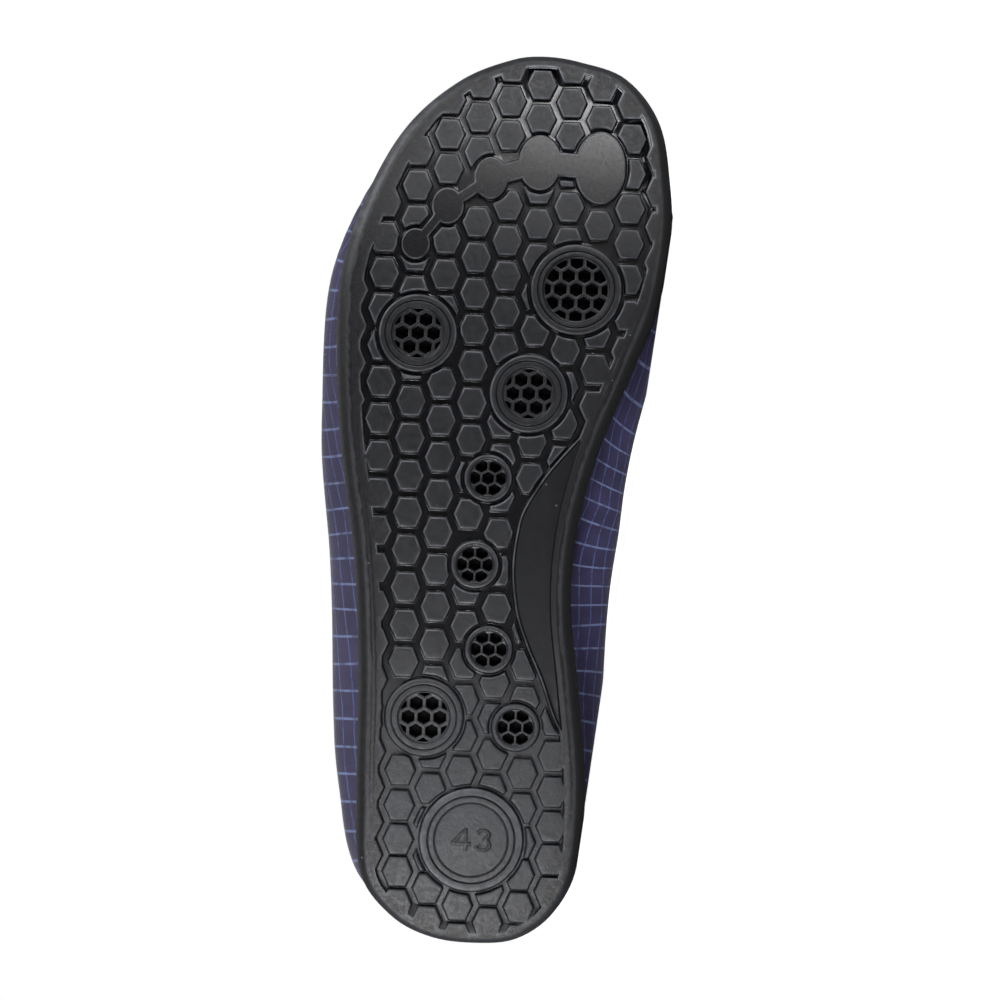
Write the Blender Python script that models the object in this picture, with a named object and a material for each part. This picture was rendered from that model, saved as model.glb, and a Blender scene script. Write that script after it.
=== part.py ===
"""Water shoe for the right foot, empty, lying on its medial side.

The shoe has three pieces: a moulded outsole with hexagon lugs, drain vents and a cupped side,
a hollow stretch-fabric upper that is open at the collar and underneath, and a loose insole.

Every form is worked out with the shoe upright: the first number of a point runs along the shoe
from heel to toe, the second across it to the medial side, and the third up from the tread.
The finished meshes are then laid on the floor, +Z up, with the toe towards +X and the tread facing -Y.
The origin is the centre of the foot of the bounding box. Lengths are in metres.
"""

import math

import bmesh
import bpy
import numpy as np
from mathutils import Matrix, Vector
from mathutils.geometry import delaunay_2d_cdt

MM = 0.001

# Driving sizes of the last and the sole
SOLE_LENGTH = 288.0 * MM
BALL_WIDTH = 105.0 * MM
INSTEP_HEIGHT = 76.0 * MM
TOE_SPRING = 11.0 * MM
HEEL_SPRING = 3.0 * MM
CLEARANCE = 0.3 * MM

# Outsole
SOLE_FLOOR = 4.6 * MM
CHANNEL_DEPTH = 2.4 * MM
SIDE_HEIGHT = 12.5 * MM
CUP_WALL = 2.2 * MM
EDGE_INSET = 4.2 * MM
EDGE_RISE = 4.0 * MM
RIM_ROUND = 0.6 * MM
RIM_BAND = 3.5 * MM
LUG_DRAFT = 0.5 * MM

# Hexagon lugs, slightly longer than they are wide
LUG_PITCH_ALONG = 11.5 * MM
LUG_PITCH_ACROSS = 9.8 * MM
LUG_LENGTH = 9.3 * MM
LUG_WIDTH = 9.4 * MM
LUG_FLAT = 5.3 * MM
LUG_CENTRE_ALONG = 0.7255
SMALLEST_LUG_AREA = 5.0 * MM * MM

# Drain vents, size disc, toe pads and arch panel
FEATURE_GAP = 1.5 * MM
VENT_RECESS = 0.8 * MM
VENT_HOLE = 3.9 * MM
SMALL_VENT_HOLE = 3.6 * MM
VENT_WEB = 1.2 * MM
SMALL_VENT_WEB = 0.85 * MM
LARGE_VENT_RING = 14.4 * MM
LARGE_VENT_GRILLE = 10.1 * MM
MEDIUM_VENT_RING = 12.4 * MM
MEDIUM_VENT_GRILLE = 7.85 * MM
SMALL_VENT_RING = 7.5 * MM
SMALL_VENT_GRILLE = 5.65 * MM
SMALLEST_HOLE_AREA = 3.0 * MM * MM
SIZE_DISC_RADIUS = 16.5 * MM
SIZE_DISC_FACE = 11.8 * MM
SIZE_DISC_RECESS = 0.5 * MM
ARCH_RECESS = 0.7 * MM
ARCH_RIDGE = 1.9 * MM

# Upper
UPPER_WALL = 1.8 * MM
TOE_DOME = 24.0 * MM
HEEL_LEAN = 9.0 * MM

# Insole
INSOLE_THICKNESS = 3.0 * MM

# How the shoe lies: its lean, and how far the floor presses it flat
REST_LEAN = math.radians(1.5)
REST_FLAT = 0.4 * MM

# Mesh fineness
BEHIND_THROAT_STATIONS = 16
BEFORE_THROAT_STATIONS = 14
FLOOR_POINT_SPACING = 14.0 * MM
DOME_LEVELS = 6
SPLINE_STEPS = 24
EDGE_ROUND_STEPS = 3

# The sole's outline seen from above, as shares of the sole's length and the ball's width
OUTLINE_COLUMNS = ("along", "across")
OUTLINE = (
    (0.000, 0.067),
    (0.005, -0.075),
    (0.027, -0.199),
    (0.074, -0.299),
    (0.166, -0.320),
    (0.304, -0.325),
    (0.432, -0.349),
    (0.560, -0.401),
    (0.670, -0.421),
    (0.756, -0.410),
    (0.846, -0.331),
    (0.919, -0.218),
    (0.971, -0.059),
    (0.996, 0.100),
    (1.000, 0.195),
    (0.995, 0.300),
    (0.977, 0.444),
    (0.928, 0.551),
    (0.857, 0.590),
    (0.795, 0.597),
    (0.712, 0.559),
    (0.636, 0.480),
    (0.548, 0.388),
    (0.461, 0.332),
    (0.380, 0.322),
    (0.290, 0.351),
    (0.173, 0.382),
    (0.082, 0.358),
    (0.033, 0.286),
    (0.006, 0.183),
)

# Where the tread's edge and the channels stop, as shares of EDGE_INSET and RIM_BAND
RIM_COLUMNS = ("along", "inset", "lateral_band", "medial_band")
RIM = (
    (0.00, 0.50, 0.30, 0.30),
    (0.06, 0.70, 0.45, 0.45),
    (0.15, 1.00, 0.75, 0.70),
    (0.35, 1.00, 1.00, 1.00),
    (0.70, 1.00, 1.00, 0.85),
    (0.85, 0.95, 1.10, 0.25),
    (0.95, 0.80, 0.60, 0.20),
    (1.00, 0.62, 0.35, 0.35),
)

# How far the tread's pattern is moved along the sole, as a share of its length
PATTERN_SHIFT_COLUMNS = ("along", "shift")
PATTERN_SHIFT = (
    (0.00, 0.0000),
    (0.04, -0.0030),
    (0.09, -0.0073),
    (0.14, -0.0118),
    (0.19, -0.0133),
    (0.24, -0.0135),
    (0.34, -0.0118),
    (0.44, -0.0073),
    (0.54, -0.0032),
    (0.64, 0.0004),
    (0.74, 0.0020),
    (0.90, 0.0014),
    (1.00, 0.0000),
)

# How high the cupped side stands, as a share of SIDE_HEIGHT
SIDE_COLUMNS = ("along", "height")
SIDE = (
    (0.00, 1.30),
    (0.15, 1.14),
    (0.35, 1.00),
    (0.65, 1.02),
    (0.85, 1.22),
    (1.00, 1.52),
)

# Sections of the upper from heel to toe. The ridge, widest and collar heights are shares of
# INSTEP_HEIGHT. The bulges past the sole's edge are shares of BALL_WIDTH. ridge_across is the
# ridge's place from the lateral side, 0, to the medial side, 1. squareness is the power of the
# superellipse that the dome follows.
SECTION_COLUMNS = (
    "along", "ridge", "widest", "collar", "lateral_bulge", "medial_bulge", "ridge_across", "squareness",
)
SECTIONS = (
    (0.00, 1.12, 0.40, 0.930, -0.006, -0.006, 0.50, 2.00),
    (0.08, 1.10, 0.40, 0.880, 0.034, 0.016, 0.50, 1.95),
    (0.15, 1.08, 0.40, 0.810, 0.062, 0.034, 0.50, 1.90),
    (0.22, 1.06, 0.41, 0.760, 0.084, 0.054, 0.51, 1.85),
    (0.30, 1.05, 0.42, 0.755, 0.094, 0.090, 0.52, 1.80),
    (0.38, 1.06, 0.43, 0.815, 0.092, 0.124, 0.54, 1.80),
    (0.46, 1.04, 0.42, 0.935, 0.087, 0.138, 0.57, 1.85),
    (0.54, 0.930, 0.39, 1.080, 0.076, 0.114, 0.60, 1.90),
    (0.62, 0.815, 0.36, 1.230, 0.058, 0.078, 0.62, 1.95),
    (0.70, 0.725, 0.33, 1.380, 0.048, 0.044, 0.63, 2.05),
    (0.78, 0.650, 0.31, 1.530, 0.033, 0.026, 0.63, 2.15),
    (0.86, 0.590, 0.30, 1.680, 0.014, 0.004, 0.62, 2.20),
    (0.94, 0.545, 0.29, 1.830, -0.008, -0.012, 0.60, 2.20),
    (1.00, 0.520, 0.28, 1.940, -0.015, -0.015, 0.55, 2.20),
)

# Vent sizes: ring radius, grille radius, hole width, web between holes, and sides of each circle
VENT_SIZES = {
    "large": (LARGE_VENT_RING, LARGE_VENT_GRILLE, VENT_HOLE, VENT_WEB, 22),
    "medium": (MEDIUM_VENT_RING, MEDIUM_VENT_GRILLE, VENT_HOLE, VENT_WEB, 18),
    "small": (SMALL_VENT_RING, SMALL_VENT_GRILLE, SMALL_VENT_HOLE, SMALL_VENT_WEB, 14),
}
VENT_COLUMNS = ("along", "across", "size")
VENTS = (
    (0.7325, 0.309, "large"),
    (0.6797, -0.172, "medium"),
    (0.617, 0.173, "medium"),
    (0.525, 0.056, "small"),
    (0.432, 0.023, "small"),
    (0.342, 0.073, "small"),
    (0.266, -0.119, "medium"),
    (0.2574, 0.162, "small"),
)
SIZE_DISC = (0.1285, 0.036)
SIZE_DISC_SIDES = 24

# Smooth toe pads joined by bars: centre, half length and half width of each as shares, and the
# width of the bar to the next pad as a share of BALL_WIDTH
TOE_PAD_COLUMNS = ("along", "across", "half_length", "half_width", "bar")
TOE_PADS = (
    (0.871, 0.373, 0.112, 0.077, 0.072),
    (0.875, 0.187, 0.085, 0.064, 0.056),
    (0.856, 0.038, 0.064, 0.051, 0.031),
    (0.823, -0.092, 0.055, 0.048, 0.028),
    (0.779, -0.187, 0.047, 0.043, 0.0),
)
TOE_PAD_SIDES = 16

# The arch panel's edge against the lugs, from its front tip to its rear tip. Its other edge
# follows the rim.
ARCH_EDGE_COLUMNS = ("along", "across")
ARCH_EDGE = (
    (0.615, 0.460),
    (0.558, 0.298),
    (0.515, 0.205),
    (0.478, 0.155),
    (0.430, 0.139),
    (0.387, 0.152),
    (0.350, 0.186),
    (0.313, 0.233),
    (0.259, 0.292),
    (0.240, 0.340),
)
ARCH_CLOSING = ((0.240, 0.60), (0.615, 0.75))


def columns(table):
    """The columns of a table of numbers, each as an array."""
    return [np.array(column, float) for column in zip(*table)]


def smooth(table_x, table_y, x):
    """A curve through the table's points that never overshoots them (monotone cubic)."""
    x = np.clip(np.asarray(x, float), table_x[0], table_x[-1])
    step = np.diff(table_x)
    rise = np.diff(table_y) / step
    slope = np.zeros(len(table_x))
    slope[0], slope[-1] = rise[0], rise[-1]
    same_way = rise[:-1] * rise[1:] > 0
    mean = 2 * rise[:-1] * rise[1:] / np.where(same_way, rise[:-1] + rise[1:], 1)
    slope[1:-1] = np.where(same_way, mean, 0)
    k = np.clip(np.searchsorted(table_x, x, side="right") - 1, 0, len(step) - 1)
    t = (x - table_x[k]) / step[k]
    return (
        table_y[k] * (1 + 2 * t) * (1 - t) ** 2
        + slope[k] * step[k] * t * (1 - t) ** 2
        + table_y[k + 1] * t * t * (3 - 2 * t)
        + slope[k + 1] * step[k] * t * t * (t - 1)
    )


def closed_spline(points, steps):
    """A closed smooth curve through the points, each stretch in that many steps."""
    points = np.asarray(points, float)
    before, after, beyond = (np.roll(points, n, axis=0) for n in (1, -1, -2))
    made = []
    for p0, p1, p2, p3 in zip(before, points, after, beyond):
        reach = np.linalg.norm(p2 - p1)
        into = (p2 - p0) / np.linalg.norm(p2 - p0) * reach
        out = (p3 - p1) / np.linalg.norm(p3 - p1) * reach
        for t in np.arange(steps) / steps:
            made.append(
                p1 * (1 + 2 * t) * (1 - t) ** 2
                + into * t * (1 - t) ** 2
                + p2 * t * t * (3 - 2 * t)
                + out * t * t * (t - 1)
            )
    return np.array(made)


def outward_normals(loop):
    """Unit normals of a closed plan curve that runs from the heel along the lateral side."""
    tangent = np.roll(loop, -1, axis=0) - np.roll(loop, 1, axis=0)
    tangent /= np.linalg.norm(tangent, axis=1)[:, None]
    return np.stack([tangent[:, 1], -tangent[:, 0]], axis=1)


def sole_curve():
    """The sole's outline as a fine closed curve, from the heel along the lateral side."""
    along, across = columns(OUTLINE)
    return closed_spline(np.stack([along * SOLE_LENGTH, across * BALL_WIDTH], axis=1), SPLINE_STEPS)


def spring(along):
    """How far the sole's underside rises towards the toe and the heel."""
    share = np.asarray(along, float) / SOLE_LENGTH
    toe = np.clip((share - 0.66) / 0.34, 0, None) ** 2
    heel = np.clip((0.12 - share) / 0.12, 0, None) ** 2
    return TOE_SPRING * toe + HEEL_SPRING * heel


def side_top(along):
    """Height of the cupped side above the tread."""
    share, height = columns(SIDE)
    return SIDE_HEIGHT * smooth(share, height, np.asarray(along) / SOLE_LENGTH)


def edge_inset(along):
    """How far the tread's edge lies inside the outline."""
    share, inset, _, _ = columns(RIM)
    return EDGE_INSET * smooth(share, inset, np.asarray(along) / SOLE_LENGTH)


def rim_width(loop, normals):
    """How far the channels stop inside the tread's edge, at points of the outline."""
    share, _, lateral, medial = columns(RIM)
    along = loop[:, 0] / SOLE_LENGTH
    to_medial = np.clip(0.5 + normals[:, 1], 0, 1)
    return RIM_BAND * (smooth(share, lateral, along) * (1 - to_medial) + smooth(share, medial, along) * to_medial)


def pattern_shift(along):
    """How far the tread's pattern is moved towards the toe."""
    share, shift = columns(PATTERN_SHIFT)
    return SOLE_LENGTH * smooth(share, shift, np.asarray(along) / SOLE_LENGTH)


def inset_line(loop, normals, inset):
    """The outline moved inwards by an inset, one number or one for each point."""
    return loop - normals * np.broadcast_to(inset, len(loop))[:, None]


def section(share):
    """One section of the upper: the named columns at that share of the length."""
    along, *values = columns(SECTIONS)
    return {name: float(smooth(along, v, share)) for name, v in zip(SECTION_COLUMNS[1:], values)}


def throat_share():
    """Where the collar's line meets the ridge: the front end of the opening."""
    low, high = 0.3, 0.7
    for _ in range(50):
        middle = (low + high) / 2
        found = section(middle)
        if found["collar"] < found["ridge"]:
            low = middle
        else:
            high = middle
    return low


def station_shares():
    """Shares of the length, close together at the heel, at the throat and at the toe."""
    throat = throat_share()
    turn = np.linspace(0, math.pi, BEHIND_THROAT_STATIONS + 1)
    behind = throat * (1 - np.cos(turn)) / 2
    turn = np.linspace(0, math.pi / 2, BEFORE_THROAT_STATIONS + 1)[1:]
    return np.concatenate([behind, throat + (1 - throat) * np.sin(turn)])


def outline_points():
    """The sole's outline at the stations, as one loop, with its outward normals.

    The loop runs from the heel along the lateral side to the toe, and back on the medial side.
    """
    curve = sole_curve()
    curve = np.roll(curve, -np.argmin(curve[:, 0]), axis=0)
    heel, toe = curve[0, 0], int(np.argmax(curve[:, 0]))
    along = heel + (curve[toe, 0] - heel) * station_shares()
    sides = []
    for side in (curve[: toe + 1], np.vstack([curve[toe:], curve[:1]])[::-1]):
        across = np.interp(along, np.maximum.accumulate(side[:, 0]), side[:, 1])
        sides.append(np.stack([along, across], axis=1))
    loop = np.vstack([sides[0], sides[1][-2:0:-1]])
    nearest = [int(np.argmin(np.sum((curve - p) ** 2, axis=1))) for p in loop]
    return loop, outward_normals(curve)[nearest]


def lug_hexagons():
    """The hexagon grid over the whole sole, as plan outlines."""
    half_flat, half_wide, half_long = LUG_FLAT / 2, LUG_WIDTH / 2, LUG_LENGTH / 2
    corners = np.array([
        (half_long, -half_flat), (half_long, half_flat), (0, half_wide),
        (-half_long, half_flat), (-half_long, -half_flat), (0, -half_wide),
    ])
    made = []
    rows = int(SOLE_LENGTH / LUG_PITCH_ALONG) + 2
    for column in range(-6, 9):
        for row in range(-rows, rows):
            offset = 0.5 if column % 2 else 0.0
            along = LUG_CENTRE_ALONG * SOLE_LENGTH + (row + offset) * LUG_PITCH_ALONG
            made.append(corners + (along + pattern_shift(along), column * LUG_PITCH_ACROSS))
    return made


def ellipse(centre, half_length, half_width, sides):
    """A closed ring of points; half_length is along the shoe."""
    angle = np.arange(sides) * 2 * math.pi / sides
    return np.stack(
        [centre[0] + half_length * np.cos(angle), centre[1] + half_width * np.sin(angle)], axis=1
    )


def placed(along, across):
    """A plan point of the tread's pattern from its shares of the length and the ball width."""
    along = along * SOLE_LENGTH
    return np.array([along + pattern_shift(along), across * BALL_WIDTH])


def vents():
    """Each vent as its centre, ring radius, grille radius, hole width, web and sides."""
    return [(placed(along, across), *VENT_SIZES[size]) for along, across, size in VENTS]


def toe_pad_shapes(grow):
    """The toe pads and the bars that join them, grown by a margin, as plan outlines."""
    shapes = []
    for pad, following in zip(TOE_PADS, (*TOE_PADS[1:], None)):
        along, across, half_length, half_width, bar = pad
        centre = placed(along, across)
        shapes.append(ellipse(
            centre, half_length * BALL_WIDTH + grow, half_width * BALL_WIDTH + grow, TOE_PAD_SIDES
        ))
        if following:
            other = placed(*following[:2])
            way = (other - centre) / np.linalg.norm(other - centre)
            aside = np.array([-way[1], way[0]]) * (bar * BALL_WIDTH / 2 + grow)
            shapes.append(np.array([centre + aside, centre - aside, other - aside, other + aside]))
    return shapes


def arch_shape(grow):
    """The arch panel's outline, grown towards the lugs; it runs past the rim on its other side."""
    edge = [placed(*point) for point in ARCH_EDGE]
    moved = [point - np.array([0, grow]) for point in edge]
    return np.array(moved + [placed(*point) for point in ARCH_CLOSING])


def inside(polygon, points):
    """Which points lie inside a closed polygon."""
    x, y = points[:, 0], points[:, 1]
    found = np.zeros(len(points), bool)
    for (x0, y0), (x1, y1) in zip(polygon, np.roll(polygon, -1, axis=0)):
        if y0 != y1:
            found ^= ((y0 > y) != (y1 > y)) & (x < (x1 - x0) * (y - y0) / (y1 - y0) + x0)
    return found


def triangulate(loops, extra=()):
    """Triangles that keep every loop's edges: points, faces."""
    points, edges = [], []
    for loop in loops:
        first = len(points)
        points += [Vector(p) for p in loop]
        edges += [(first + i, first + (i + 1) % len(loop)) for i in range(len(loop))]
    points += [Vector(p) for p in extra]
    found, _, faces, _, _, _ = delaunay_2d_cdt(points, edges, [], 0, 1e-7)
    return np.array([tuple(p) for p in found]), np.array([tuple(f) for f in faces], int)


def is_land(points, rim_line, hexagons, features, grown):
    """Which points of the tread stand at lug height and not in a channel."""
    in_lug = np.zeros(len(points), bool)
    for polygon in hexagons:
        in_lug |= inside(polygon, points)
    for polygon in grown:
        in_lug &= ~inside(polygon, points)
    land = in_lug | ~inside(rim_line, points)
    for polygon in features:
        land |= inside(polygon, points)
    return land


def without_small_islands(faces, land, areas):
    """Land that isn't joined to the rim and is too small to mould becomes channel."""
    sides = {}
    for index, (a, b, c) in enumerate(faces):
        for edge in ((a, b), (b, c), (c, a)):
            sides.setdefault(frozenset(edge), []).append(index)
    near = [[] for _ in faces]
    for pair in sides.values():
        if len(pair) == 2 and land[pair[0]] == land[pair[1]]:
            near[pair[0]].append(pair[1])
            near[pair[1]].append(pair[0])
    seen = np.zeros(len(faces), bool)
    kept = land.copy()
    for start in np.flatnonzero(land):
        if seen[start]:
            continue
        island, waiting = [], [start]
        seen[start] = True
        while waiting:
            face = waiting.pop()
            island.append(face)
            for other in near[face]:
                if not seen[other]:
                    seen[other] = True
                    waiting.append(other)
        if areas[island].sum() < SMALLEST_LUG_AREA:
            kept[island] = False
    return kept


def boundary_loops(points, faces, land):
    """The closed lines between land and channel, with the channel on their left."""
    owner = {}
    for index, (a, b, c) in enumerate(faces):
        for edge in ((a, b), (b, c), (c, a)):
            owner[edge] = index
    following = {}
    for (a, b), index in owner.items():
        other = owner.get((b, a))
        if other is not None and not land[index] and land[other]:
            following.setdefault(a, []).append(b)
    loops = []
    while following:
        start = next(iter(following))
        loop, here = [start], start
        while True:
            there = following[here].pop()
            if not following[here]:
                del following[here]
            if there == start:
                break
            loop.append(there)
            here = there
        loops.append(tidied(points[loop]))
    return [loop for loop in loops if len(loop) > 2]


def tidied(loop, shortest=0.3 * MM, straight=0.02 * MM):
    """The loop without very short edges and without points on a straight run."""
    kept = [loop[0]]
    for point in loop[1:]:
        if np.linalg.norm(point - kept[-1]) > shortest:
            kept.append(point)
    if len(kept) > 2 and np.linalg.norm(kept[0] - kept[-1]) <= shortest:
        kept.pop()
    index = 0
    while len(kept) > 3 and index < len(kept):
        a, b, c = kept[index - 1], kept[index], kept[(index + 1) % len(kept)]
        chord = c - a
        off = abs(chord[0] * (b - a)[1] - chord[1] * (b - a)[0]) / max(np.linalg.norm(chord), 1e-12)
        if off < straight:
            kept.pop(index)
        else:
            index += 1
    return np.array(kept)


def offset_loop(loop, distance):
    """The loop moved to its left by a distance, with its corners mitred."""
    ahead = np.roll(loop, -1, axis=0) - loop
    ahead /= np.linalg.norm(ahead, axis=1)[:, None]
    left = np.stack([-ahead[:, 1], ahead[:, 0]], axis=1)
    both = left + np.roll(left, 1, axis=0)
    both /= np.maximum(np.linalg.norm(both, axis=1), 0.2)[:, None]
    stretch = 1 / np.maximum(np.sum(both * left, axis=1), 0.5)
    return loop + both * (stretch * distance)[:, None]


def distance_to(loops, points):
    """Distance from each point to the nearest loop, and whether it lies inside them."""
    starts = np.vstack(loops)
    ends = np.vstack([np.roll(loop, -1, axis=0) for loop in loops])
    run = ends - starts
    length = np.maximum(np.sum(run * run, axis=1), 1e-18)
    nearest = np.empty(len(points))
    odd = np.empty(len(points), bool)
    for index, point in enumerate(points):
        share = np.clip(np.sum((point - starts) * run, axis=1) / length, 0, 1)
        gap = point - (starts + run * share[:, None])
        nearest[index] = math.sqrt(np.min(np.sum(gap * gap, axis=1)))
        crosses = (starts[:, 1] > point[1]) != (ends[:, 1] > point[1])
        rise = np.where(crosses, run[:, 1], 1)
        meets = starts[:, 0] + run[:, 0] * (point[1] - starts[:, 1]) / rise
        odd[index] = np.sum(crosses & (point[0] < meets)) % 2
    return nearest, odd


def channel_loops(loop, normals):
    """The edges of the channels between the lugs."""
    rim_line = inset_line(loop, normals, edge_inset(loop[:, 0]) + rim_width(loop, normals))
    hexagons = [h for h in lug_hexagons() if inside(rim_line, h).any()]
    discs = [(centre, ring, sides) for centre, ring, *_, sides in vents()]
    discs.append((placed(*SIZE_DISC), SIZE_DISC_RADIUS, SIZE_DISC_SIDES))
    features = [ellipse(centre, radius, radius, sides) for centre, radius, sides in discs]
    grown = [
        ellipse(centre, radius + FEATURE_GAP, radius + FEATURE_GAP, sides)
        for centre, radius, sides in discs
    ]
    features += [*toe_pad_shapes(0), arch_shape(0)]
    grown += [*toe_pad_shapes(FEATURE_GAP), arch_shape(FEATURE_GAP)]
    points, faces = triangulate([rim_line, *hexagons, *features, *grown])
    corners = points[faces]
    land = is_land(corners.mean(axis=1), rim_line, hexagons, features, grown)
    run, rise = corners[:, 1] - corners[:, 0], corners[:, 2] - corners[:, 0]
    areas = np.abs(run[:, 0] * rise[:, 1] - run[:, 1] * rise[:, 0]) / 2
    return boundary_loops(points, faces, without_small_islands(faces, land, areas))


def clipped_by_circle(polygon, centre, radius, sides):
    """The part of a convex polygon inside a circle drawn with straight sides."""
    ring = ellipse(centre, radius, radius, sides)
    kept = [np.array(p) for p in polygon]
    for a, b in zip(ring, np.roll(ring, -1, axis=0)):
        edge = b - a
        level = [edge[0] * (p - a)[1] - edge[1] * (p - a)[0] for p in kept]
        clipped = []
        for i, point in enumerate(kept):
            j = (i + 1) % len(kept)
            if level[i] >= 0:
                clipped.append(point)
            if (level[i] >= 0) != (level[j] >= 0):
                clipped.append(point + (kept[j] - point) * level[i] / (level[i] - level[j]))
        kept = clipped
        if len(kept) < 3:
            return None
    return np.array(kept)


def polygon_area(polygon):
    x, y = polygon[:, 0], polygon[:, 1]
    return abs(np.sum(x * np.roll(y, -1) - np.roll(x, -1) * y)) / 2


def vent_holes():
    """The drain holes: a honeycomb of small hexagons in each vent, trimmed to its grille."""
    angle = np.arange(6) * math.pi / 3
    corners = np.stack([np.cos(angle), np.sin(angle)], axis=1) / math.sqrt(3)
    holes = []
    for centre, _, grille, width, web, sides in vents():
        pitch = width + web
        reach = int(grille / pitch) + 2
        for row in range(-reach, reach + 1):
            for column in range(-reach, reach + 1):
                shift = (column + (row % 2) / 2) * pitch
                place = centre + np.array([row * pitch * math.sqrt(3) / 2, shift])
                hole = clipped_by_circle(corners * width + place, centre, grille, sides)
                if hole is not None and polygon_area(hole) > SMALLEST_HOLE_AREA:
                    holes.append(tidied(hole))
    return holes


def tread_depth(points, channels, panel):
    """How far each point of the underside lies above the tread plane."""
    gap, in_channel = distance_to(channels, points)
    depth = CHANNEL_DEPTH * np.clip(0.5 + np.where(in_channel, gap, -gap) / LUG_DRAFT, 0, 1)
    discs = [(centre, grille + web / 2, VENT_RECESS) for centre, _, grille, _, web, _ in vents()]
    discs.append((placed(*SIZE_DISC), SIZE_DISC_FACE, SIZE_DISC_RECESS))
    for centre, radius, recess in discs:
        inward = radius - np.linalg.norm(points - centre, axis=1)
        depth = np.maximum(depth, recess * np.clip(0.5 + inward / LUG_DRAFT, 0, 1))
    gap, in_panel = distance_to([panel], points)
    share = np.clip(0.5 + np.where(in_panel, gap, -gap) / LUG_DRAFT, 0, 1)
    return np.maximum(depth, ARCH_RECESS * share)


def arch_panel_loop(loop, normals):
    """The arch panel: its edge against the lugs, closed along the rim."""
    ridge_line = inset_line(loop, normals, edge_inset(loop[:, 0]) + ARCH_RIDGE)
    outline = arch_shape(0)
    points, faces = triangulate([ridge_line, outline])
    centres = points[faces].mean(axis=1)
    in_panel = inside(ridge_line, centres) & inside(outline, centres)
    return max(boundary_loops(points, faces, ~in_panel), key=polygon_area)


def sprung_points(outline, loops):
    """Extra points where the sole curves up, so that its sheets follow the spring."""
    spacing = FLOOR_POINT_SPACING
    steps = np.arange(-40, 41) * spacing
    grid = np.array([(along, across) for along in steps for across in steps])
    grid = grid[(spring(grid[:, 0]) > 0) & inside(outline, grid)]
    return grid[distance_to([outline, *loops], grid)[0] > 0.2 * spacing]


def lifted(points, heights):
    """Plan points with heights, the third number."""
    return np.column_stack([points, heights])


def outsole_mesh():
    """The moulded outsole: tread with lugs and channels, cupped side, inner floor, drain holes."""
    loop, normals = outline_points()
    tread_edge = inset_line(loop, normals, edge_inset(loop[:, 0]))
    channels, panel, holes = channel_loops(loop, normals), arch_panel_loop(loop, normals), vent_holes()
    half = LUG_DRAFT / 2
    drafted = [offset_loop(line, way) for line in channels for way in (-half, half)]
    drafted += [offset_loop(panel, way) for way in (-half, half)]
    for centre, _, grille, _, web, sides in vents():
        recess = grille + web / 2
        drafted += [ellipse(centre, recess + way, recess + way, sides) for way in (-half, half)]
    face = placed(*SIZE_DISC)
    drafted += [
        ellipse(face, SIZE_DISC_FACE + way, SIZE_DISC_FACE + way, SIZE_DISC_SIDES)
        for way in (-half, half)
    ]
    mesh = bmesh.new()
    points, faces = triangulate([tread_edge, *drafted, *holes], sprung_points(tread_edge, drafted))
    heights = tread_depth(points, channels, panel)
    on_edge = distance_to([tread_edge], points)[0] < 1e-6
    heights = np.where(on_edge, 0, heights) + spring(points[:, 0])
    add_sheet(mesh, lifted(points, heights), open_faces(points, faces, tread_edge, holes), flip=True)

    inner_edge = loop - normals * CUP_WALL
    floor_points, floor_faces = triangulate([inner_edge, *holes], sprung_points(inner_edge, holes))
    floor_heights = SOLE_FLOOR + spring(floor_points[:, 0])
    floor = open_faces(floor_points, floor_faces, inner_edge, holes)
    add_sheet(mesh, lifted(floor_points, floor_heights), floor, flip=False)

    under = {tuple(np.round(p, 7)): h for p, h in zip(points, heights)}
    for hole in holes:
        low = lifted(hole, [under[tuple(np.round(p.astype(np.float32).astype(float), 7))] for p in hole])
        high = lifted(hole, SOLE_FLOOR + spring(hole[:, 0]))
        add_band(mesh, [high, low])

    top = side_top(loop[:, 0])
    turn = [math.pi / 2 * i / EDGE_ROUND_STEPS for i in range(EDGE_ROUND_STEPS + 1)]
    inset = edge_inset(loop[:, 0])
    profile = [(inset * (1 - math.sin(t)), EDGE_RISE * (1 - math.cos(t))) for t in turn]
    profile += [
        (0, top - RIM_ROUND),
        (RIM_ROUND, top),
        (CUP_WALL - RIM_ROUND, top),
        (CUP_WALL, top - RIM_ROUND),
        (CUP_WALL, SOLE_FLOOR),
    ]
    rings = []
    for inset, height in profile:
        ring = inset_line(loop, normals, inset)
        rings.append(lifted(ring, height + spring(ring[:, 0])))
    add_band(mesh, rings)
    return mesh


def open_faces(points, faces, outline, holes):
    """The faces inside the outline and outside every hole."""
    centres = points[faces].mean(axis=1)
    kept = inside(outline, centres)
    for hole in holes:
        kept &= ~inside(hole, centres)
    return faces[kept]


def add_sheet(mesh, points, faces, flip):
    """Adds triangles to the mesh, facing down if flip is set and otherwise up."""
    made = [mesh.verts.new(p) for p in points]
    for a, b, c in faces:
        mesh.faces.new((made[a], made[c], made[b]) if flip else (made[a], made[b], made[c]))


def add_band(mesh, rings):
    """Joins closed rings of as many points each, one after the other, with quads."""
    made = [[mesh.verts.new(p) for p in ring] for ring in rings]
    for lower, upper in zip(made, made[1:]):
        for i in range(len(lower)):
            j = (i + 1) % len(lower)
            mesh.faces.new((lower[i], lower[j], upper[j], upper[i]))


def both_sides(loop):
    """The lateral and the medial points of a loop, each from heel to toe."""
    toe = len(loop) // 2
    return loop[: toe + 1], np.vstack([loop[:1], loop[: toe - 1 : -1]])


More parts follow.
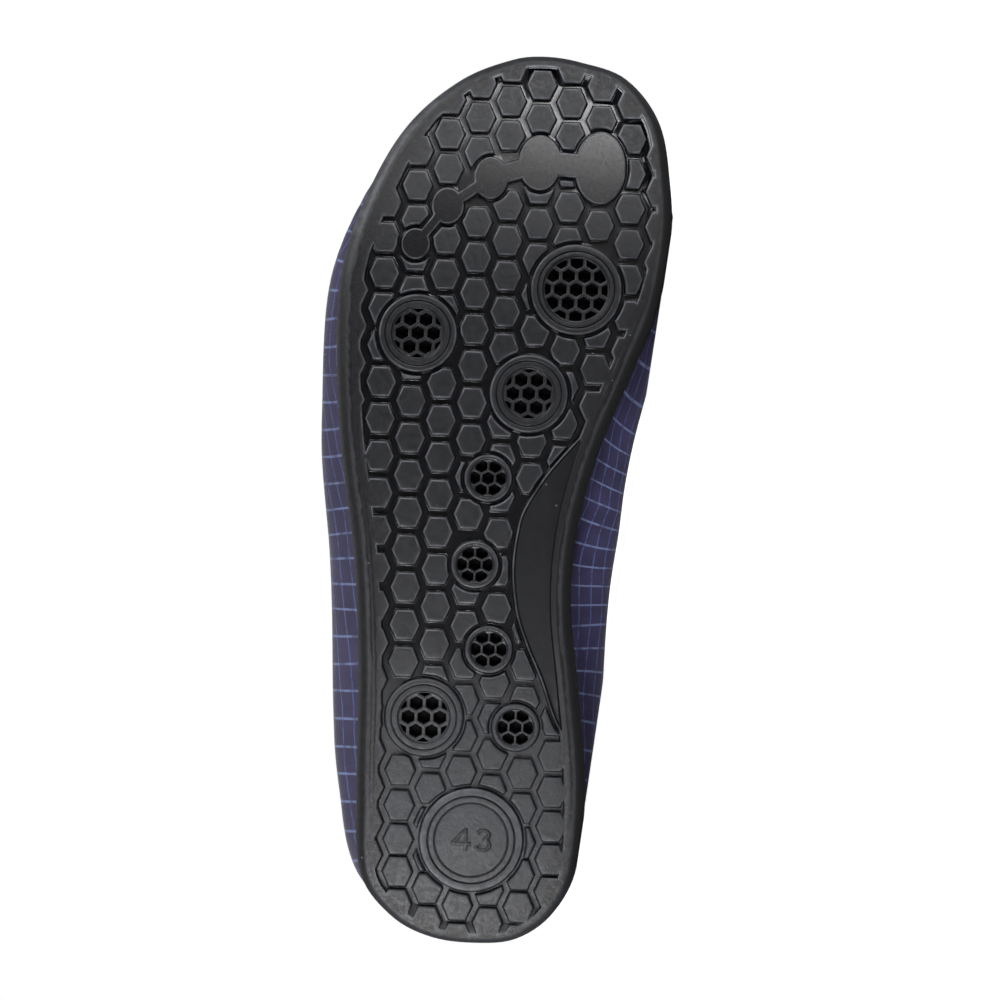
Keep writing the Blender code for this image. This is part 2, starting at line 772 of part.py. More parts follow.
def upper_rib(share, foot, widest, ridge):
    """One side of a section, from the sole's floor up to the ridge or the collar.

    foot, widest and ridge are plan points: against the cup, at the widest and on the ridge.
    """
    found = section(share)
    wide_height, top = (found[name] * INSTEP_HEIGHT for name in ("widest", "ridge"))
    collar = min(found["collar"] * INSTEP_HEIGHT, top)
    power = 2 / found["squareness"]
    cup_top = float(side_top(foot[0])) + 2 * CLEARANCE
    points = [(foot, SOLE_FLOOR + CLEARANCE), (foot, cup_top)]
    for t in (0.35, 0.7):
        ease = t * t * (3 - 2 * t)
        points.append((foot + (widest - foot) * ease, cup_top + (wide_height - cup_top) * t))
    last = math.asin(((collar - wide_height) / (top - wide_height)) ** (1 / power))
    for turn in np.linspace(0, last, DOME_LEVELS + 1):
        out, up = max(math.cos(turn), 0) ** power, math.sin(turn) ** power
        lean = np.array([HEEL_LEAN * (1 - share) ** 3 * up, 0])
        points.append((ridge + (widest - ridge) * out + lean, wide_height + (top - wide_height) * up))
    return np.array([(*plan, height + float(spring(plan[0]))) for plan, height in points])


def upper_mesh():
    """The upper's outer skin: one sheet, open along the collar and underneath."""
    loop, normals = outline_points()
    shares = station_shares()
    along, _, _, _, lateral_bulge, medial_bulge, ridge_across, _ = columns(SECTIONS)
    way = both_sides(normals)
    foot = [side - out * (CUP_WALL + CLEARANCE) for side, out in zip(both_sides(loop), way)]
    widest = [
        side + out * (smooth(along, bulge, shares) * BALL_WIDTH)[:, None]
        for side, out, bulge in zip(both_sides(loop), way, (lateral_bulge, medial_bulge))
    ]
    ridge = widest[0] + (widest[1] - widest[0]) * smooth(along, ridge_across, shares)[:, None]
    ridge[:, 0] -= TOE_DOME * shares ** 3
    mesh = bmesh.new()
    for side in (0, 1):
        ribs = [upper_rib(*points) for points in zip(shares, foot[side], widest[side], ridge)]
        made = [[mesh.verts.new(p) for p in rib] for rib in ribs]
        for behind, before in zip(made, made[1:]):
            for i in range(len(behind) - 1):
                corners = (behind[i], before[i], before[i + 1], behind[i + 1])
                mesh.faces.new(corners[::-1] if side else corners)
    return mesh


def insole_mesh():
    """The insole: a flat pad that follows the sole's floor inside the upper."""
    loop, normals = outline_points()
    edge = loop - normals * (CUP_WALL + UPPER_WALL + 2 * CLEARANCE)
    mesh = bmesh.new()
    low = SOLE_FLOOR + CLEARANCE + spring(edge[:, 0])
    add_band(mesh, [lifted(edge, low), lifted(edge, low + INSOLE_THICKNESS)])
    count = len(edge)
    for height, upward in ((low, False), (low + INSOLE_THICKNESS, True)):
        ring = [mesh.verts.new(p) for p in lifted(edge, height)]
        for i in range(count // 2):
            j, k = (count - i) % count, (count - i - 1) % count
            corners = [ring[i], ring[j], ring[k], ring[i + 1]]
            unique = list(dict.fromkeys(corners))
            if len(unique) > 2:
                mesh.faces.new(unique[::-1] if upward else unique)
    return mesh


def rest_plane():
    """The floor in the upright shoe's frame: a point on it and its normal into the shoe.

    It touches the sole's medial edge at the ball and at the heel and leans out with the upper.
    """
    loop = sole_curve()
    best = None
    for turn in np.radians(np.arange(-20, 20, 0.05)):
        outward = np.array([-math.sin(turn), math.cos(turn)])
        reach = loop @ outward
        front = reach[loop[:, 0] > SOLE_LENGTH / 2].max()
        rear = reach[loop[:, 0] <= SOLE_LENGTH / 2].max()
        if best is None or abs(front - rear) < best[0]:
            best = (abs(front - rear), outward, max(front, rear))
    _, outward, reach = best
    inward = -np.array([*outward * math.cos(REST_LEAN), -math.sin(REST_LEAN)])
    touch = np.array([*outward * reach, EDGE_RISE])
    return touch + inward * REST_FLAT, inward


def finished(mesh, name, material, wall=0.0):
    """Welds the mesh, presses it flat where the floor is, and makes it an object."""
    bmesh.ops.remove_doubles(mesh, verts=mesh.verts, dist=0.002 * MM)
    point, inward = rest_plane()
    for vert in mesh.verts:
        depth = float(np.dot(np.array(vert.co) - point, inward))
        if depth < 0:
            vert.co -= Vector(inward) * depth
    data = bpy.data.meshes.new(name)
    mesh.to_mesh(data)
    mesh.free()
    made = bpy.data.objects.new(name, data)
    bpy.context.scene.collection.objects.link(made)
    data.materials.append(material)
    if wall:
        thicken = made.modifiers.new("wall", "SOLIDIFY")
        thicken.thickness = wall
        thicken.offset = -1
        thicken.use_even_offset = True
    return made


def lie_down(objects):
    """Turns the upright shoe onto its medial side and centres it over the origin."""
    _, up = rest_plane()
    toe_way = np.cross([0, 0, 1], up)
    toe_way /= np.linalg.norm(toe_way)
    toe_way *= np.sign(toe_way[0])
    turn = np.array([toe_way, np.cross(up, toe_way), up])
    placed_points = []
    for made in objects:
        points = np.array([v.co for v in made.data.vertices]) @ turn.T
        made.data.vertices.foreach_set("co", points.astype(np.float32).ravel())
        placed_points.append(points)
    every = np.vstack(placed_points)
    low, high = every.min(axis=0), every.max(axis=0)
    shift = Vector((-(low[0] + high[0]) / 2, -(low[1] + high[1]) / 2, -low[2]))
    for made in objects:
        made.data.transform(Matrix.Translation(shift))
        made.data.update()


def plain_material(name, colour, roughness):
    """A Principled material of one colour."""
    material = bpy.data.materials.new(name)
    material.use_nodes = True
    shader = material.node_tree.nodes["Principled BSDF"]
    shader.inputs["Base Color"].default_value = (*colour, 1.0)
    shader.inputs["Roughness"].default_value = roughness
    shader.inputs["Metallic"].default_value = 0.0
    return material


def main():
    for leftover in list(bpy.data.objects):
        bpy.data.objects.remove(leftover)
    rubber = plain_material("black_rubber", (0.028, 0.029, 0.033), 0.55)
    fabric = plain_material("navy_fabric", (0.030, 0.024, 0.085), 0.85)
    foam = plain_material("dark_foam", (0.020, 0.020, 0.024), 0.90)
    lie_down([
        finished(outsole_mesh(), "outsole", rubber),
        finished(upper_mesh(), "upper", fabric, wall=UPPER_WALL),
        finished(insole_mesh(), "insole", foam),
    ])


main()
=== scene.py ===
import math

import bmesh
import bpy
import numpy as np
from mathutils import Matrix, Vector
from mathutils.geometry import delaunay_2d_cdt


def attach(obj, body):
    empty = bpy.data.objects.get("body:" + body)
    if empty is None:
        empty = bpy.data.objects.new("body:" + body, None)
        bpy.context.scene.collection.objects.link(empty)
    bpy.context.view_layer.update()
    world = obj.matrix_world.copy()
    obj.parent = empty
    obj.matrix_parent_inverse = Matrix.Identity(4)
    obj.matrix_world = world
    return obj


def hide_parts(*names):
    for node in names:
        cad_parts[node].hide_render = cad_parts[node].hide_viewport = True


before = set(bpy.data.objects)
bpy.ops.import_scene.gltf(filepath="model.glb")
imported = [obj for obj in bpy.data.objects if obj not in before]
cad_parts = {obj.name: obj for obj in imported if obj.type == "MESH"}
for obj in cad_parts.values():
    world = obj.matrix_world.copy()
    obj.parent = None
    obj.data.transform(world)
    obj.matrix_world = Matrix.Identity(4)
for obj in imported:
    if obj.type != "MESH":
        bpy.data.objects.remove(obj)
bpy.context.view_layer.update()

MM = 0.001

# The shoe's own sizes, as in the CAD
SOLE_LENGTH = 288.0 * MM
BALL_WIDTH = 105.0 * MM
INSTEP_HEIGHT = 76.0 * MM
TOE_SPRING = 11.0 * MM
HEEL_SPRING = 3.0 * MM
CLEARANCE = 0.3 * MM
SOLE_FLOOR = 4.6 * MM
CHANNEL_DEPTH = 2.4 * MM
SIDE_HEIGHT = 12.5 * MM
CUP_WALL = 2.2 * MM
UPPER_WALL = 1.8 * MM
TOE_DOME = 24.0 * MM
HEEL_LEAN = 9.0 * MM
INSOLE_THICKNESS = 3.0 * MM

# Where the upright shoe's frame lies on the floor: how far it turns and leans, and its heel's place
TURN, LEAN = math.radians(6.85), math.radians(1.5)
SHIFT = np.array([-144.485, -37.066, 34.577]) * MM
AXES = np.array([
    (math.cos(TURN), math.sin(TURN), 0),
    (-math.sin(TURN) * math.sin(LEAN), math.cos(TURN) * math.sin(LEAN), math.cos(LEAN)),
    (math.sin(TURN) * math.cos(LEAN), -math.cos(TURN) * math.cos(LEAN), math.sin(LEAN)),
])

OUTLINE = (
    (0.000, 0.067), (0.005, -0.075), (0.027, -0.199), (0.074, -0.299), (0.166, -0.320),
    (0.304, -0.325), (0.432, -0.349), (0.560, -0.401), (0.670, -0.421), (0.756, -0.410),
    (0.846, -0.331), (0.919, -0.218), (0.971, -0.059), (0.996, 0.100), (1.000, 0.195),
    (0.995, 0.300), (0.977, 0.444), (0.928, 0.551), (0.857, 0.590), (0.795, 0.597),
    (0.712, 0.559), (0.636, 0.480), (0.548, 0.388), (0.461, 0.332), (0.380, 0.322),
    (0.290, 0.351), (0.173, 0.382), (0.082, 0.358), (0.033, 0.286), (0.006, 0.183),
)
SIDE = ((0.00, 1.30), (0.15, 1.14), (0.35, 1.00), (0.65, 1.02), (0.85, 1.22), (1.00, 1.52))
SECTION_COLUMNS = (
    "along", "ridge", "widest", "collar", "lateral_bulge", "medial_bulge", "ridge_across", "squareness",
)
SECTIONS = (
    (0.00, 1.12, 0.40, 0.930, -0.006, -0.006, 0.50, 2.00),
    (0.08, 1.10, 0.40, 0.880, 0.034, 0.016, 0.50, 1.95),
    (0.15, 1.08, 0.40, 0.810, 0.062, 0.034, 0.50, 1.90),
    (0.22, 1.06, 0.41, 0.760, 0.084, 0.054, 0.51, 1.85),
    (0.30, 1.05, 0.42, 0.755, 0.094, 0.090, 0.52, 1.80),
    (0.38, 1.06, 0.43, 0.815, 0.092, 0.124, 0.54, 1.80),
    (0.46, 1.04, 0.42, 0.935, 0.087, 0.138, 0.57, 1.85),
    (0.54, 0.930, 0.39, 1.080, 0.076, 0.114, 0.60, 1.90),
    (0.62, 0.815, 0.36, 1.230, 0.058, 0.078, 0.62, 1.95),
    (0.70, 0.725, 0.33, 1.380, 0.048, 0.044, 0.63, 2.05),
    (0.78, 0.650, 0.31, 1.530, 0.033, 0.026, 0.63, 2.15),
    (0.86, 0.590, 0.30, 1.680, 0.014, 0.004, 0.62, 2.20),
    (0.94, 0.545, 0.29, 1.830, -0.008, -0.012, 0.60, 2.20),
    (1.00, 0.520, 0.28, 1.940, -0.015, -0.015, 0.55, 2.20),
)

# Where the tread's edge and the channels stop: share of the length, share of EDGE_INSET, and shares
# of RIM_BAND on the lateral and the medial side
RIM = (
    (0.00, 0.50, 0.30, 0.30), (0.06, 0.70, 0.45, 0.45), (0.15, 1.00, 0.75, 0.70), (0.35, 1.00, 1.00, 1.00),
    (0.70, 1.00, 1.00, 0.85), (0.85, 0.95, 1.10, 0.25), (0.95, 0.80, 0.60, 0.20), (1.00, 0.62, 0.35, 0.35),
)

# How far the tread's pattern is moved along the sole, as a share of its length
PATTERN_SHIFT = (
    (0.00, 0.0000), (0.04, -0.0030), (0.09, -0.0073), (0.14, -0.0118), (0.19, -0.0133),
    (0.24, -0.0135), (0.34, -0.0118), (0.44, -0.0073), (0.54, -0.0032), (0.64, 0.0004),
    (0.74, 0.0020), (0.90, 0.0014), (1.00, 0.0000),
)

# Soft creases of the fabric: share of the length, distance from the ridge, slant as the distance
# along the shoe for each millimetre down, half length, half width, depth, and the sides. Millimetres
CREASES = (
    (0.615, 0, 0.22, 26, 3.4, 0.55, (0, 1)),
    (0.655, 0, 0.12, 38, 3.8, 0.85, (0, 1)),
    (0.700, 0, -0.05, 42, 4.2, 0.75, (0, 1)),
    (0.745, 6, -0.18, 24, 3.6, 0.40, (1,)),
    (0.500, 52, 0.60, 22, 4.5, 0.70, (0,)),
    (0.440, 60, 0.75, 20, 4.0, 0.60, (1,)),
    (0.230, 62, -0.50, 24, 4.5, 0.70, (0,)),
    (0.160, 58, -0.45, 20, 4.0, 0.60, (0, 1)),
    (0.085, 50, -0.35, 18, 3.6, 0.50, (1,)),
)
PUCKER_PITCH, PUCKER_DEPTH, PUCKER_REACH = 6.4 * MM, 0.30 * MM, 7.0 * MM

# Binding round the collar: distance down the cloth and away from it, in millimetres
BINDING_PROFILE = (
    (6.2, -0.1), (6.1, 0.35), (5.7, 0.6), (3.0, 0.68), (0.6, 0.62), (-0.35, 0.3), (-0.8, -0.35),
    (-0.8, -1.45), (-0.35, -2.1), (0.6, -2.42), (3.0, -2.48), (5.7, -2.4), (6.1, -2.15), (6.2, -1.7),
)
STITCH_LENGTH, STITCH_GAP, STITCH_THICKNESS = 2.3 * MM, 0.9 * MM, 0.26 * MM
LUG_PITCH_ALONG = 11.5 * MM
LUG_PITCH_ACROSS = 9.8 * MM
LUG_LENGTH = 9.3 * MM
LUG_WIDTH = 9.4 * MM
LUG_FLAT = 5.3 * MM
LUG_CENTRE_ALONG = 0.7255
SMALLEST_LUG_AREA = 3.5 * MM * MM
FEATURE_GAP = 1.5 * MM
EDGE_INSET = 4.2 * MM
EDGE_RISE = 4.0 * MM
RIM_BAND = 3.5 * MM
ARCH_RIDGE = 1.9 * MM
SMALLEST_HOLE_AREA = 1.6 * MM * MM
HOLE_CHAMFER = 0.2 * MM

# Profiles in millimetres. The first number is the distance past the edge of the channel, the panel,
# the digit or the tread, or the radius; the second is the depth or, in the channel, its share.
WALL_PROFILE = (
    (-1.3, 0.0), (-0.45, 0.0), (-0.2, 0.03), (-0.03, 0.14), (0.08, 0.34), (0.3, 0.86), (0.42, 0.97), (0.6, 1.0),
)
PANEL_PROFILE = ((0.3, 0.0), (0.5, 0.12), (0.8, 0.58), (1.0, 0.7))
DIGIT_PROFILE = ((-0.14, 0.0), (0.02, 0.18), (0.2, 0.34))
# How much painted highlight lightens the lug edges and how much darker the lug centres are, by the distance past
# a channel's edge
EDGE_PAINTED_LIGHT = ((-1.3, -0.25), (-0.45, 0.28), (-0.2, 0.75), (-0.03, 0.9), (0.08, 0.7), (0.3, 0.0))
# Painted light on the size disc: its face and flat ring lighter, its grooves left dark, by the distance from its
# centre
DISC_PAINTED_LIGHT = (
    (11.3, 0.22), (11.6, 0.0), (12.1, 0.0), (12.3, 0.22), (13.6, 0.22), (13.8, 0.0), (14.2, 0.0), (14.5, 0.22),
)
# How dark the rim is, by the distance inside the tread's edge
RIM_SHADE = ((0.0, -0.85), (1.85, -0.7), (4.5, -0.5), (8.0, 0.0))
# Painted light on the moulded side, by the share of the length: lateral, medial. Above zero is painted highlight,
# below zero painted shade
SIDE_PAINTED_LIGHT = (
    (0.00, 0.12, 0.12), (0.04, 0.1, 0.1), (0.10, -0.95, -0.95), (0.72, -0.95, -0.95), (0.80, 0.3, -0.95),
    (0.95, 0.3, -0.6), (1.00, 0.0, 0.0),
)
# How slick the lugs and the rim are, and how far painted shade darkens them, by the share of the length
TREAD_GLOSS_AND_SHADE = ((0.26, 0.0), (0.34, 0.42), (0.78, 0.42), (0.88, 0.0))
# How slick it is, by the distance past the arch panel's edge
PANEL_POLISH = ((0.3, 0.0), (0.5, 1.0), (0.8, 1.0), (1.0, 0.7))
RIM_PROFILE = ((0.0, 0.0), (0.3, -0.13), (0.65, -0.2), (1.2, -0.2), (1.55, -0.13), (1.85, 0.0))
SIZE_DISC_PROFILE = (
    (0.0, 0.3), (11.4, 0.3), (11.6, 0.4), (11.74, 0.75), (11.92, 0.75), (12.1, 0.25), (12.3, 0.1),
    (13.6, 0.1), (13.8, 0.2), (13.92, 0.7), (14.1, 0.7), (14.22, 0.12), (14.45, 0.0),
)
VENT_SIZES = {
    "large": {
        "ring": 14.5 * MM, "grille": 10.1 * MM, "cell": 5.1 * MM, "hole": 3.9 * MM,
        "profile": (
            (0.0, 0.8), (10.4, 0.8), (10.6, 0.72), (10.9, 0.12), (11.1, 0.0),
            (12.0, 0.0), (12.15, 0.12), (12.25, 0.6), (12.42, 0.6), (12.53, 0.12), (12.7, 0.0),
        ),
    },
    "medium": {
        "ring": 12.4 * MM, "grille": 7.85 * MM, "cell": 5.1 * MM, "hole": 3.9 * MM,
        "profile": (
            (0.0, 0.8), (8.1, 0.8), (8.25, 0.72), (8.55, 0.12), (8.75, 0.0),
            (10.15, 0.0), (10.3, 0.12), (10.38, 0.6), (10.54, 0.6), (10.65, 0.12), (10.8, 0.0),
        ),
    },
    "small": {
        "ring": 7.5 * MM, "grille": 5.65 * MM, "cell": 4.45 * MM, "hole": 3.6 * MM,
        "profile": ((0.0, 0.8), (5.75, 0.8), (5.9, 0.72), (6.15, 0.12), (6.35, 0.0)),
    },
}
VENTS = (
    (0.7325, 0.309, "large"), (0.6797, -0.172, "medium"), (0.617, 0.173, "medium"),
    (0.525, 0.056, "small"), (0.432, 0.023, "small"), (0.342, 0.073, "small"),
    (0.266, -0.119, "medium"), (0.2574, 0.162, "small"),
)
SIZE_DISC = (0.1285, 0.036)
SIZE_DISC_RING = 16.5 * MM

# The size digits 4 and 3 as lines in millimetres from the disc's centre: to the right, and up
DIGIT_STROKE = 1.05 * MM
TURNS = np.radians(np.arange(165, -91, -15))
DIGIT_LINES = (
    ((-1.6, 3.6), (-3.9, 1.1), (-6.2, -1.3)),
    ((-6.5, -1.25), (-3.0, -1.25), (-0.1, -1.25)),
    ((-1.75, 3.75), (-1.75, 0.0), (-1.75, -3.5)),
    [(3.8 + 2.0 * math.cos(t), 1.8 + 1.45 * math.sin(t)) for t in TURNS],
    [(3.7 + 2.35 * math.cos(t), -1.5 - 1.7 * math.sin(t)) for t in TURNS],
)

# Smooth toe pads joined by bars: centre, half length, half width and width of the bar to the next pad
TOE_PADS = (
    (0.871, 0.373, 0.112, 0.077, 0.072),
    (0.875, 0.187, 0.085, 0.064, 0.056),
    (0.856, 0.038, 0.064, 0.051, 0.031),
    (0.823, -0.092, 0.055, 0.048, 0.028),
    (0.779, -0.187, 0.047, 0.043, 0.0),
)
ARCH_EDGE = (
    (0.615, 0.460), (0.558, 0.298), (0.515, 0.205), (0.478, 0.155), (0.430, 0.139),
    (0.387, 0.152), (0.350, 0.186), (0.313, 0.233), (0.259, 0.292), (0.240, 0.340),
)
ARCH_CLOSING = ((0.240, 0.60), (0.615, 0.75))


def to_floor(points):
    """Points of the upright shoe's frame, laid on the floor. None goes below it."""
    placed = np.asarray(points, float) @ AXES.T + SHIFT
    placed[..., 2] = np.maximum(placed[..., 2], 0)
    return placed


def columns(table):
    return [np.array(column, float) for column in zip(*table)]


def smooth(table_x, table_y, x):
    """A curve through the table's points that never overshoots them."""
    x = np.clip(np.asarray(x, float), table_x[0], table_x[-1])
    step = np.diff(table_x)
    rise = np.diff(table_y) / step
    slope = np.zeros(len(table_x))
    slope[0], slope[-1] = rise[0], rise[-1]
    same_way = rise[:-1] * rise[1:] > 0
    mean = 2 * rise[:-1] * rise[1:] / np.where(same_way, rise[:-1] + rise[1:], 1)
    slope[1:-1] = np.where(same_way, mean, 0)
    k = np.clip(np.searchsorted(table_x, x, side="right") - 1, 0, len(step) - 1)
    t = (x - table_x[k]) / step[k]
    return (
        table_y[k] * (1 + 2 * t) * (1 - t) ** 2
        + slope[k] * step[k] * t * (1 - t) ** 2
        + table_y[k + 1] * t * t * (3 - 2 * t)
        + slope[k + 1] * step[k] * t * t * (t - 1)
    )


def sole_curve(steps=24):
    """The sole's outline as a fine closed curve, from the heel along the lateral side."""
    points = np.array([(a * SOLE_LENGTH, b * BALL_WIDTH) for a, b in OUTLINE])
    made = []
    for p0, p1, p2, p3 in zip(*(np.roll(points, n, axis=0) for n in (1, 0, -1, -2))):
        reach = np.linalg.norm(p2 - p1)
        into = (p2 - p0) / np.linalg.norm(p2 - p0) * reach
        out = (p3 - p1) / np.linalg.norm(p3 - p1) * reach
        for t in np.arange(steps) / steps:
            made.append(
                p1 * (1 + 2 * t) * (1 - t) ** 2 + into * t * (1 - t) ** 2
                + p2 * t * t * (3 - 2 * t) + out * t * t * (t - 1)
            )
    curve = np.array(made)
    return np.roll(curve, -np.argmin(curve[:, 0]), axis=0)


def spring(along):
    """How far the sole's underside rises towards the toe and the heel."""
    share = np.asarray(along, float) / SOLE_LENGTH
    toe = np.clip((share - 0.66) / 0.34, 0, None) ** 2
    heel = np.clip((0.12 - share) / 0.12, 0, None) ** 2
    return TOE_SPRING * toe + HEEL_SPRING * heel


def outline_sides(shares):
    """Points and outward normals of the lateral and medial outline at shares of the length."""
    curve = sole_curve()
    tangent = np.roll(curve, -1, axis=0) - np.roll(curve, 1, axis=0)
    tangent /= np.linalg.norm(tangent, axis=1)[:, None]
    normals = np.stack([tangent[:, 1], -tangent[:, 0]], axis=1)
    heel, toe = curve[0, 0], int(np.argmax(curve[:, 0]))
    along = heel + (curve[toe, 0] - heel) * shares
    order = np.arange(len(curve))
    found = []
    for side in (order[: toe + 1], np.append(order[toe:], 0)[::-1]):
        line = np.maximum.accumulate(curve[side, 0])
        across = np.interp(along, line, curve[side, 1])
        way = np.stack([np.interp(along, line, normals[side, n]) for n in (0, 1)], axis=1)
        for end, n in ((0, 0), (-1, toe)):
            way[end] = normals[n]
        way /= np.linalg.norm(way, axis=1)[:, None]
        found.append((np.stack([along, across], axis=1), way))
    return found


def edge_inset(along):
    """How far the tread's edge lies inside the outline."""
    share, inset, _, _ = columns(RIM)
    return EDGE_INSET * smooth(share, inset, np.asarray(along) / SOLE_LENGTH)


def rim_width(loop, normals):
    """How far the channels stop inside the tread's edge, at points of the outline."""
    share, _, lateral, medial = columns(RIM)
    along = loop[:, 0] / SOLE_LENGTH
    to_medial = np.clip(0.5 + normals[:, 1], 0, 1)
    return RIM_BAND * (smooth(share, lateral, along) * (1 - to_medial) + smooth(share, medial, along) * to_medial)


def pattern_shift(along):
    """How far the tread's pattern is moved towards the toe."""
    share, shift = columns(PATTERN_SHIFT)
    return SOLE_LENGTH * smooth(share, shift, np.asarray(along) / SOLE_LENGTH)


def inset_line(loop, normals, inset):
    """The outline moved inwards by an inset, one number or one for each point."""
    return loop - normals * np.broadcast_to(inset, len(loop))[:, None]


def section(share):
    along, *values = columns(SECTIONS)
    return {name: float(smooth(along, v, share)) for name, v in zip(SECTION_COLUMNS[1:], values)}


def throat_share():
    """Where the collar's line meets the ridge: the front end of the opening."""
    low, high = 0.3, 0.7
    for _ in range(50):
        middle = (low + high) / 2
        found = section(middle)
        low, high = (middle, high) if found["collar"] < found["ridge"] else (low, middle)
    return low


THROAT = throat_share()
BEHIND_THROAT, BEFORE_THROAT = 90, 110
# The print's lines near the sole, at shares of the length: how far those across the shoe slant on the
# lateral and the medial side, how far those along it rise, and how far those across it crowd on the
# medial side. Rise and crowding are in millimetres
PRINT_SLANT = ((0.36, 0.0, 0.0), (0.48, 0.12, 0.42), (0.60, 0.30, 1.15), (0.90, 0.30, 1.15), (1.00, 0.0, 0.0))
PRINT_RISE = ((0.00, -22), (0.48, 0), (0.65, 20), (0.90, 14), (1.00, 0))
PRINT_CROWDING = ((0.2717, -14.4), (0.48, 0), (0.6189, 9.6), (0.85, 9.6), (1.00, 0))
DOME_LEVELS, SIDE_LEVELS = 40, 14
# From here to its end at the toe the ridge runs straight ahead
RIDGE_STRAIGHT = 0.97


def station_shares():
    turn = np.linspace(0, math.pi, BEHIND_THROAT + 1)
    behind = THROAT * (1 - np.cos(turn)) / 2
    turn = np.linspace(0, math.pi / 2, BEFORE_THROAT + 1)[1:]
    return np.concatenate([behind, THROAT + (1 - THROAT) * np.sin(turn)])


def rib(share, foot, widest, ridge):
    """One side of a section of the upper, from the sole's floor up to the ridge or the collar."""
    found = section(share)
    wide_height, top = (found[name] * INSTEP_HEIGHT for name in ("widest", "ridge"))
    collar = min(found["collar"] * INSTEP_HEIGHT, top)
    power = 2 / found["squareness"]
    side_share, side_height = columns(SIDE)
    cup_top = SIDE_HEIGHT * float(smooth(side_share, side_height, foot[0] / SOLE_LENGTH)) + 2 * CLEARANCE
    points = [(foot, SOLE_FLOOR + CLEARANCE)]
    for t in np.linspace(0, 1, SIDE_LEVELS + 1)[:-1]:
        ease = t * t * (3 - 2 * t)
        points.append((foot + (widest - foot) * ease, cup_top + (wide_height - cup_top) * t))
    last = math.asin(((collar - wide_height) / (top - wide_height)) ** (1 / power))
    for turn in np.linspace(0, last, DOME_LEVELS + 1):
        out, up = max(math.cos(turn), 0) ** power, math.sin(turn) ** power
        lean = np.array([HEEL_LEAN * (1 - share) ** 3 * up, 0])
        points.append((ridge + (widest - ridge) * out + lean, wide_height + (top - wide_height) * up))
    return np.array([(*plan, height + float(spring(plan[0]))) for plan, height in points])


def upper_grids():
    """Points of the upper's outer skin, one grid for the lateral and one for the medial side."""
    shares = station_shares()
    sides = outline_sides(shares)
    along, _, _, _, lateral_bulge, medial_bulge, ridge_across, _ = columns(SECTIONS)
    foot = [points - way * (CUP_WALL + CLEARANCE) for points, way in sides]
    widest = [
        points + way * (smooth(along, bulge, shares) * BALL_WIDTH)[:, None]
        for (points, way), bulge in zip(sides, (lateral_bulge, medial_bulge))
    ]
    ridge = widest[0] + (widest[1] - widest[0]) * smooth(along, ridge_across, shares)[:, None]
    ridge[:, 0] -= TOE_DOME * shares ** 3
    ridge[shares > RIDGE_STRAIGHT, 1] = np.interp(RIDGE_STRAIGHT, shares, ridge[:, 1])
    return [
        np.array([rib(*points) for points in zip(shares, foot[side], widest[side], ridge)])
        for side in (0, 1)
    ]


def linked(name, mesh, *materials):
    """A new object of the mesh that rides on the shoe."""
    data = bpy.data.meshes.new(name)
    mesh.to_mesh(data)
    mesh.free()
    made = bpy.data.objects.new(name, data)
    bpy.context.scene.collection.objects.link(made)
    for material in materials:
        data.materials.append(material)
    data.shade_smooth()
    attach(made, "root")
    return made


class Paint:
    """A Principled material in the making, with short ways to add and link its nodes."""

    def __init__(self, name, roughness, colour=(0.02, 0.02, 0.02)):
        self.made = bpy.data.materials.new(name)
        self.made.use_nodes = True
        self.tree = self.made.node_tree
        self.shader = self.tree.nodes["Principled BSDF"].inputs
        self.shader["Base Color"].default_value = (*colour, 1)
        self.shader["Roughness"].default_value = roughness

    def link(self, value, socket):
        """Links another node's output to a socket, or sets it to a plain value."""
        if isinstance(value, bpy.types.NodeSocket):
            self.tree.links.new(value, socket)
        else:
            socket.default_value = value

    def add(self, kind, settings=(), **inputs):
        """A new node. Its inputs are given by name, or by number after an i."""
        node = self.tree.nodes.new(kind)
        for key, value in dict(settings).items():
            setattr(node, key, value)
        for key, value in inputs.items():
            numbered = key[0] == "i" and key[1:].isdigit()
            self.link(value, node.inputs[int(key[1:]) if numbered else key])
        return node

    def place(self):
        return self.add("ShaderNodeTexCoord").outputs["Object"]

    def math(self, operation, a, b=0.5, clamp=False):
        settings = {"operation": operation, "use_clamp": clamp}
        return self.add("ShaderNodeMath", settings, i0=a, i1=b).outputs[0]

    def times(self, a, b):
        return self.math("MULTIPLY", a, b)

    def ramp(self, value, low, high, start=0.0, end=1.0):
        """Maps value from low..high to start..end, smoothly."""
        settings = {"interpolation_type": "SMOOTHSTEP"}
        return self.add("ShaderNodeMapRange", settings, i0=value, i1=low, i2=high, i3=start, i4=end).outputs[0]

    def blend(self, factor, a, b, how="MIX"):
        """A colour between two, each a socket or a plain colour of three numbers."""
        node = self.add("ShaderNodeMix", {"data_type": "RGBA", "blend_type": how}, i0=factor)
        for index, value in ((6, a), (7, b)):
            self.link((*value, 1) if isinstance(value, tuple) else value, node.inputs[index])
        return node.outputs[2]

    def noise(self, vector, scale, detail=2.0, roughness=0.5):
        inputs = {"Vector": vector, "Scale": scale, "Detail": detail, "Roughness": roughness}
        return self.add("ShaderNodeTexNoise", **inputs).outputs["Fac"]

    def finish(self, colour, relief, strength, invert=False):
        """Links the colour and the bump, and gives the material back."""
        self.link(colour, self.shader["Base Color"])
        inputs = {"Strength": strength, "Distance": 0.0002, "Height": relief}
        self.link(self.add("ShaderNodeBump", {"invert": invert}, **inputs).outputs[0], self.shader["Normal"])
        return self.made


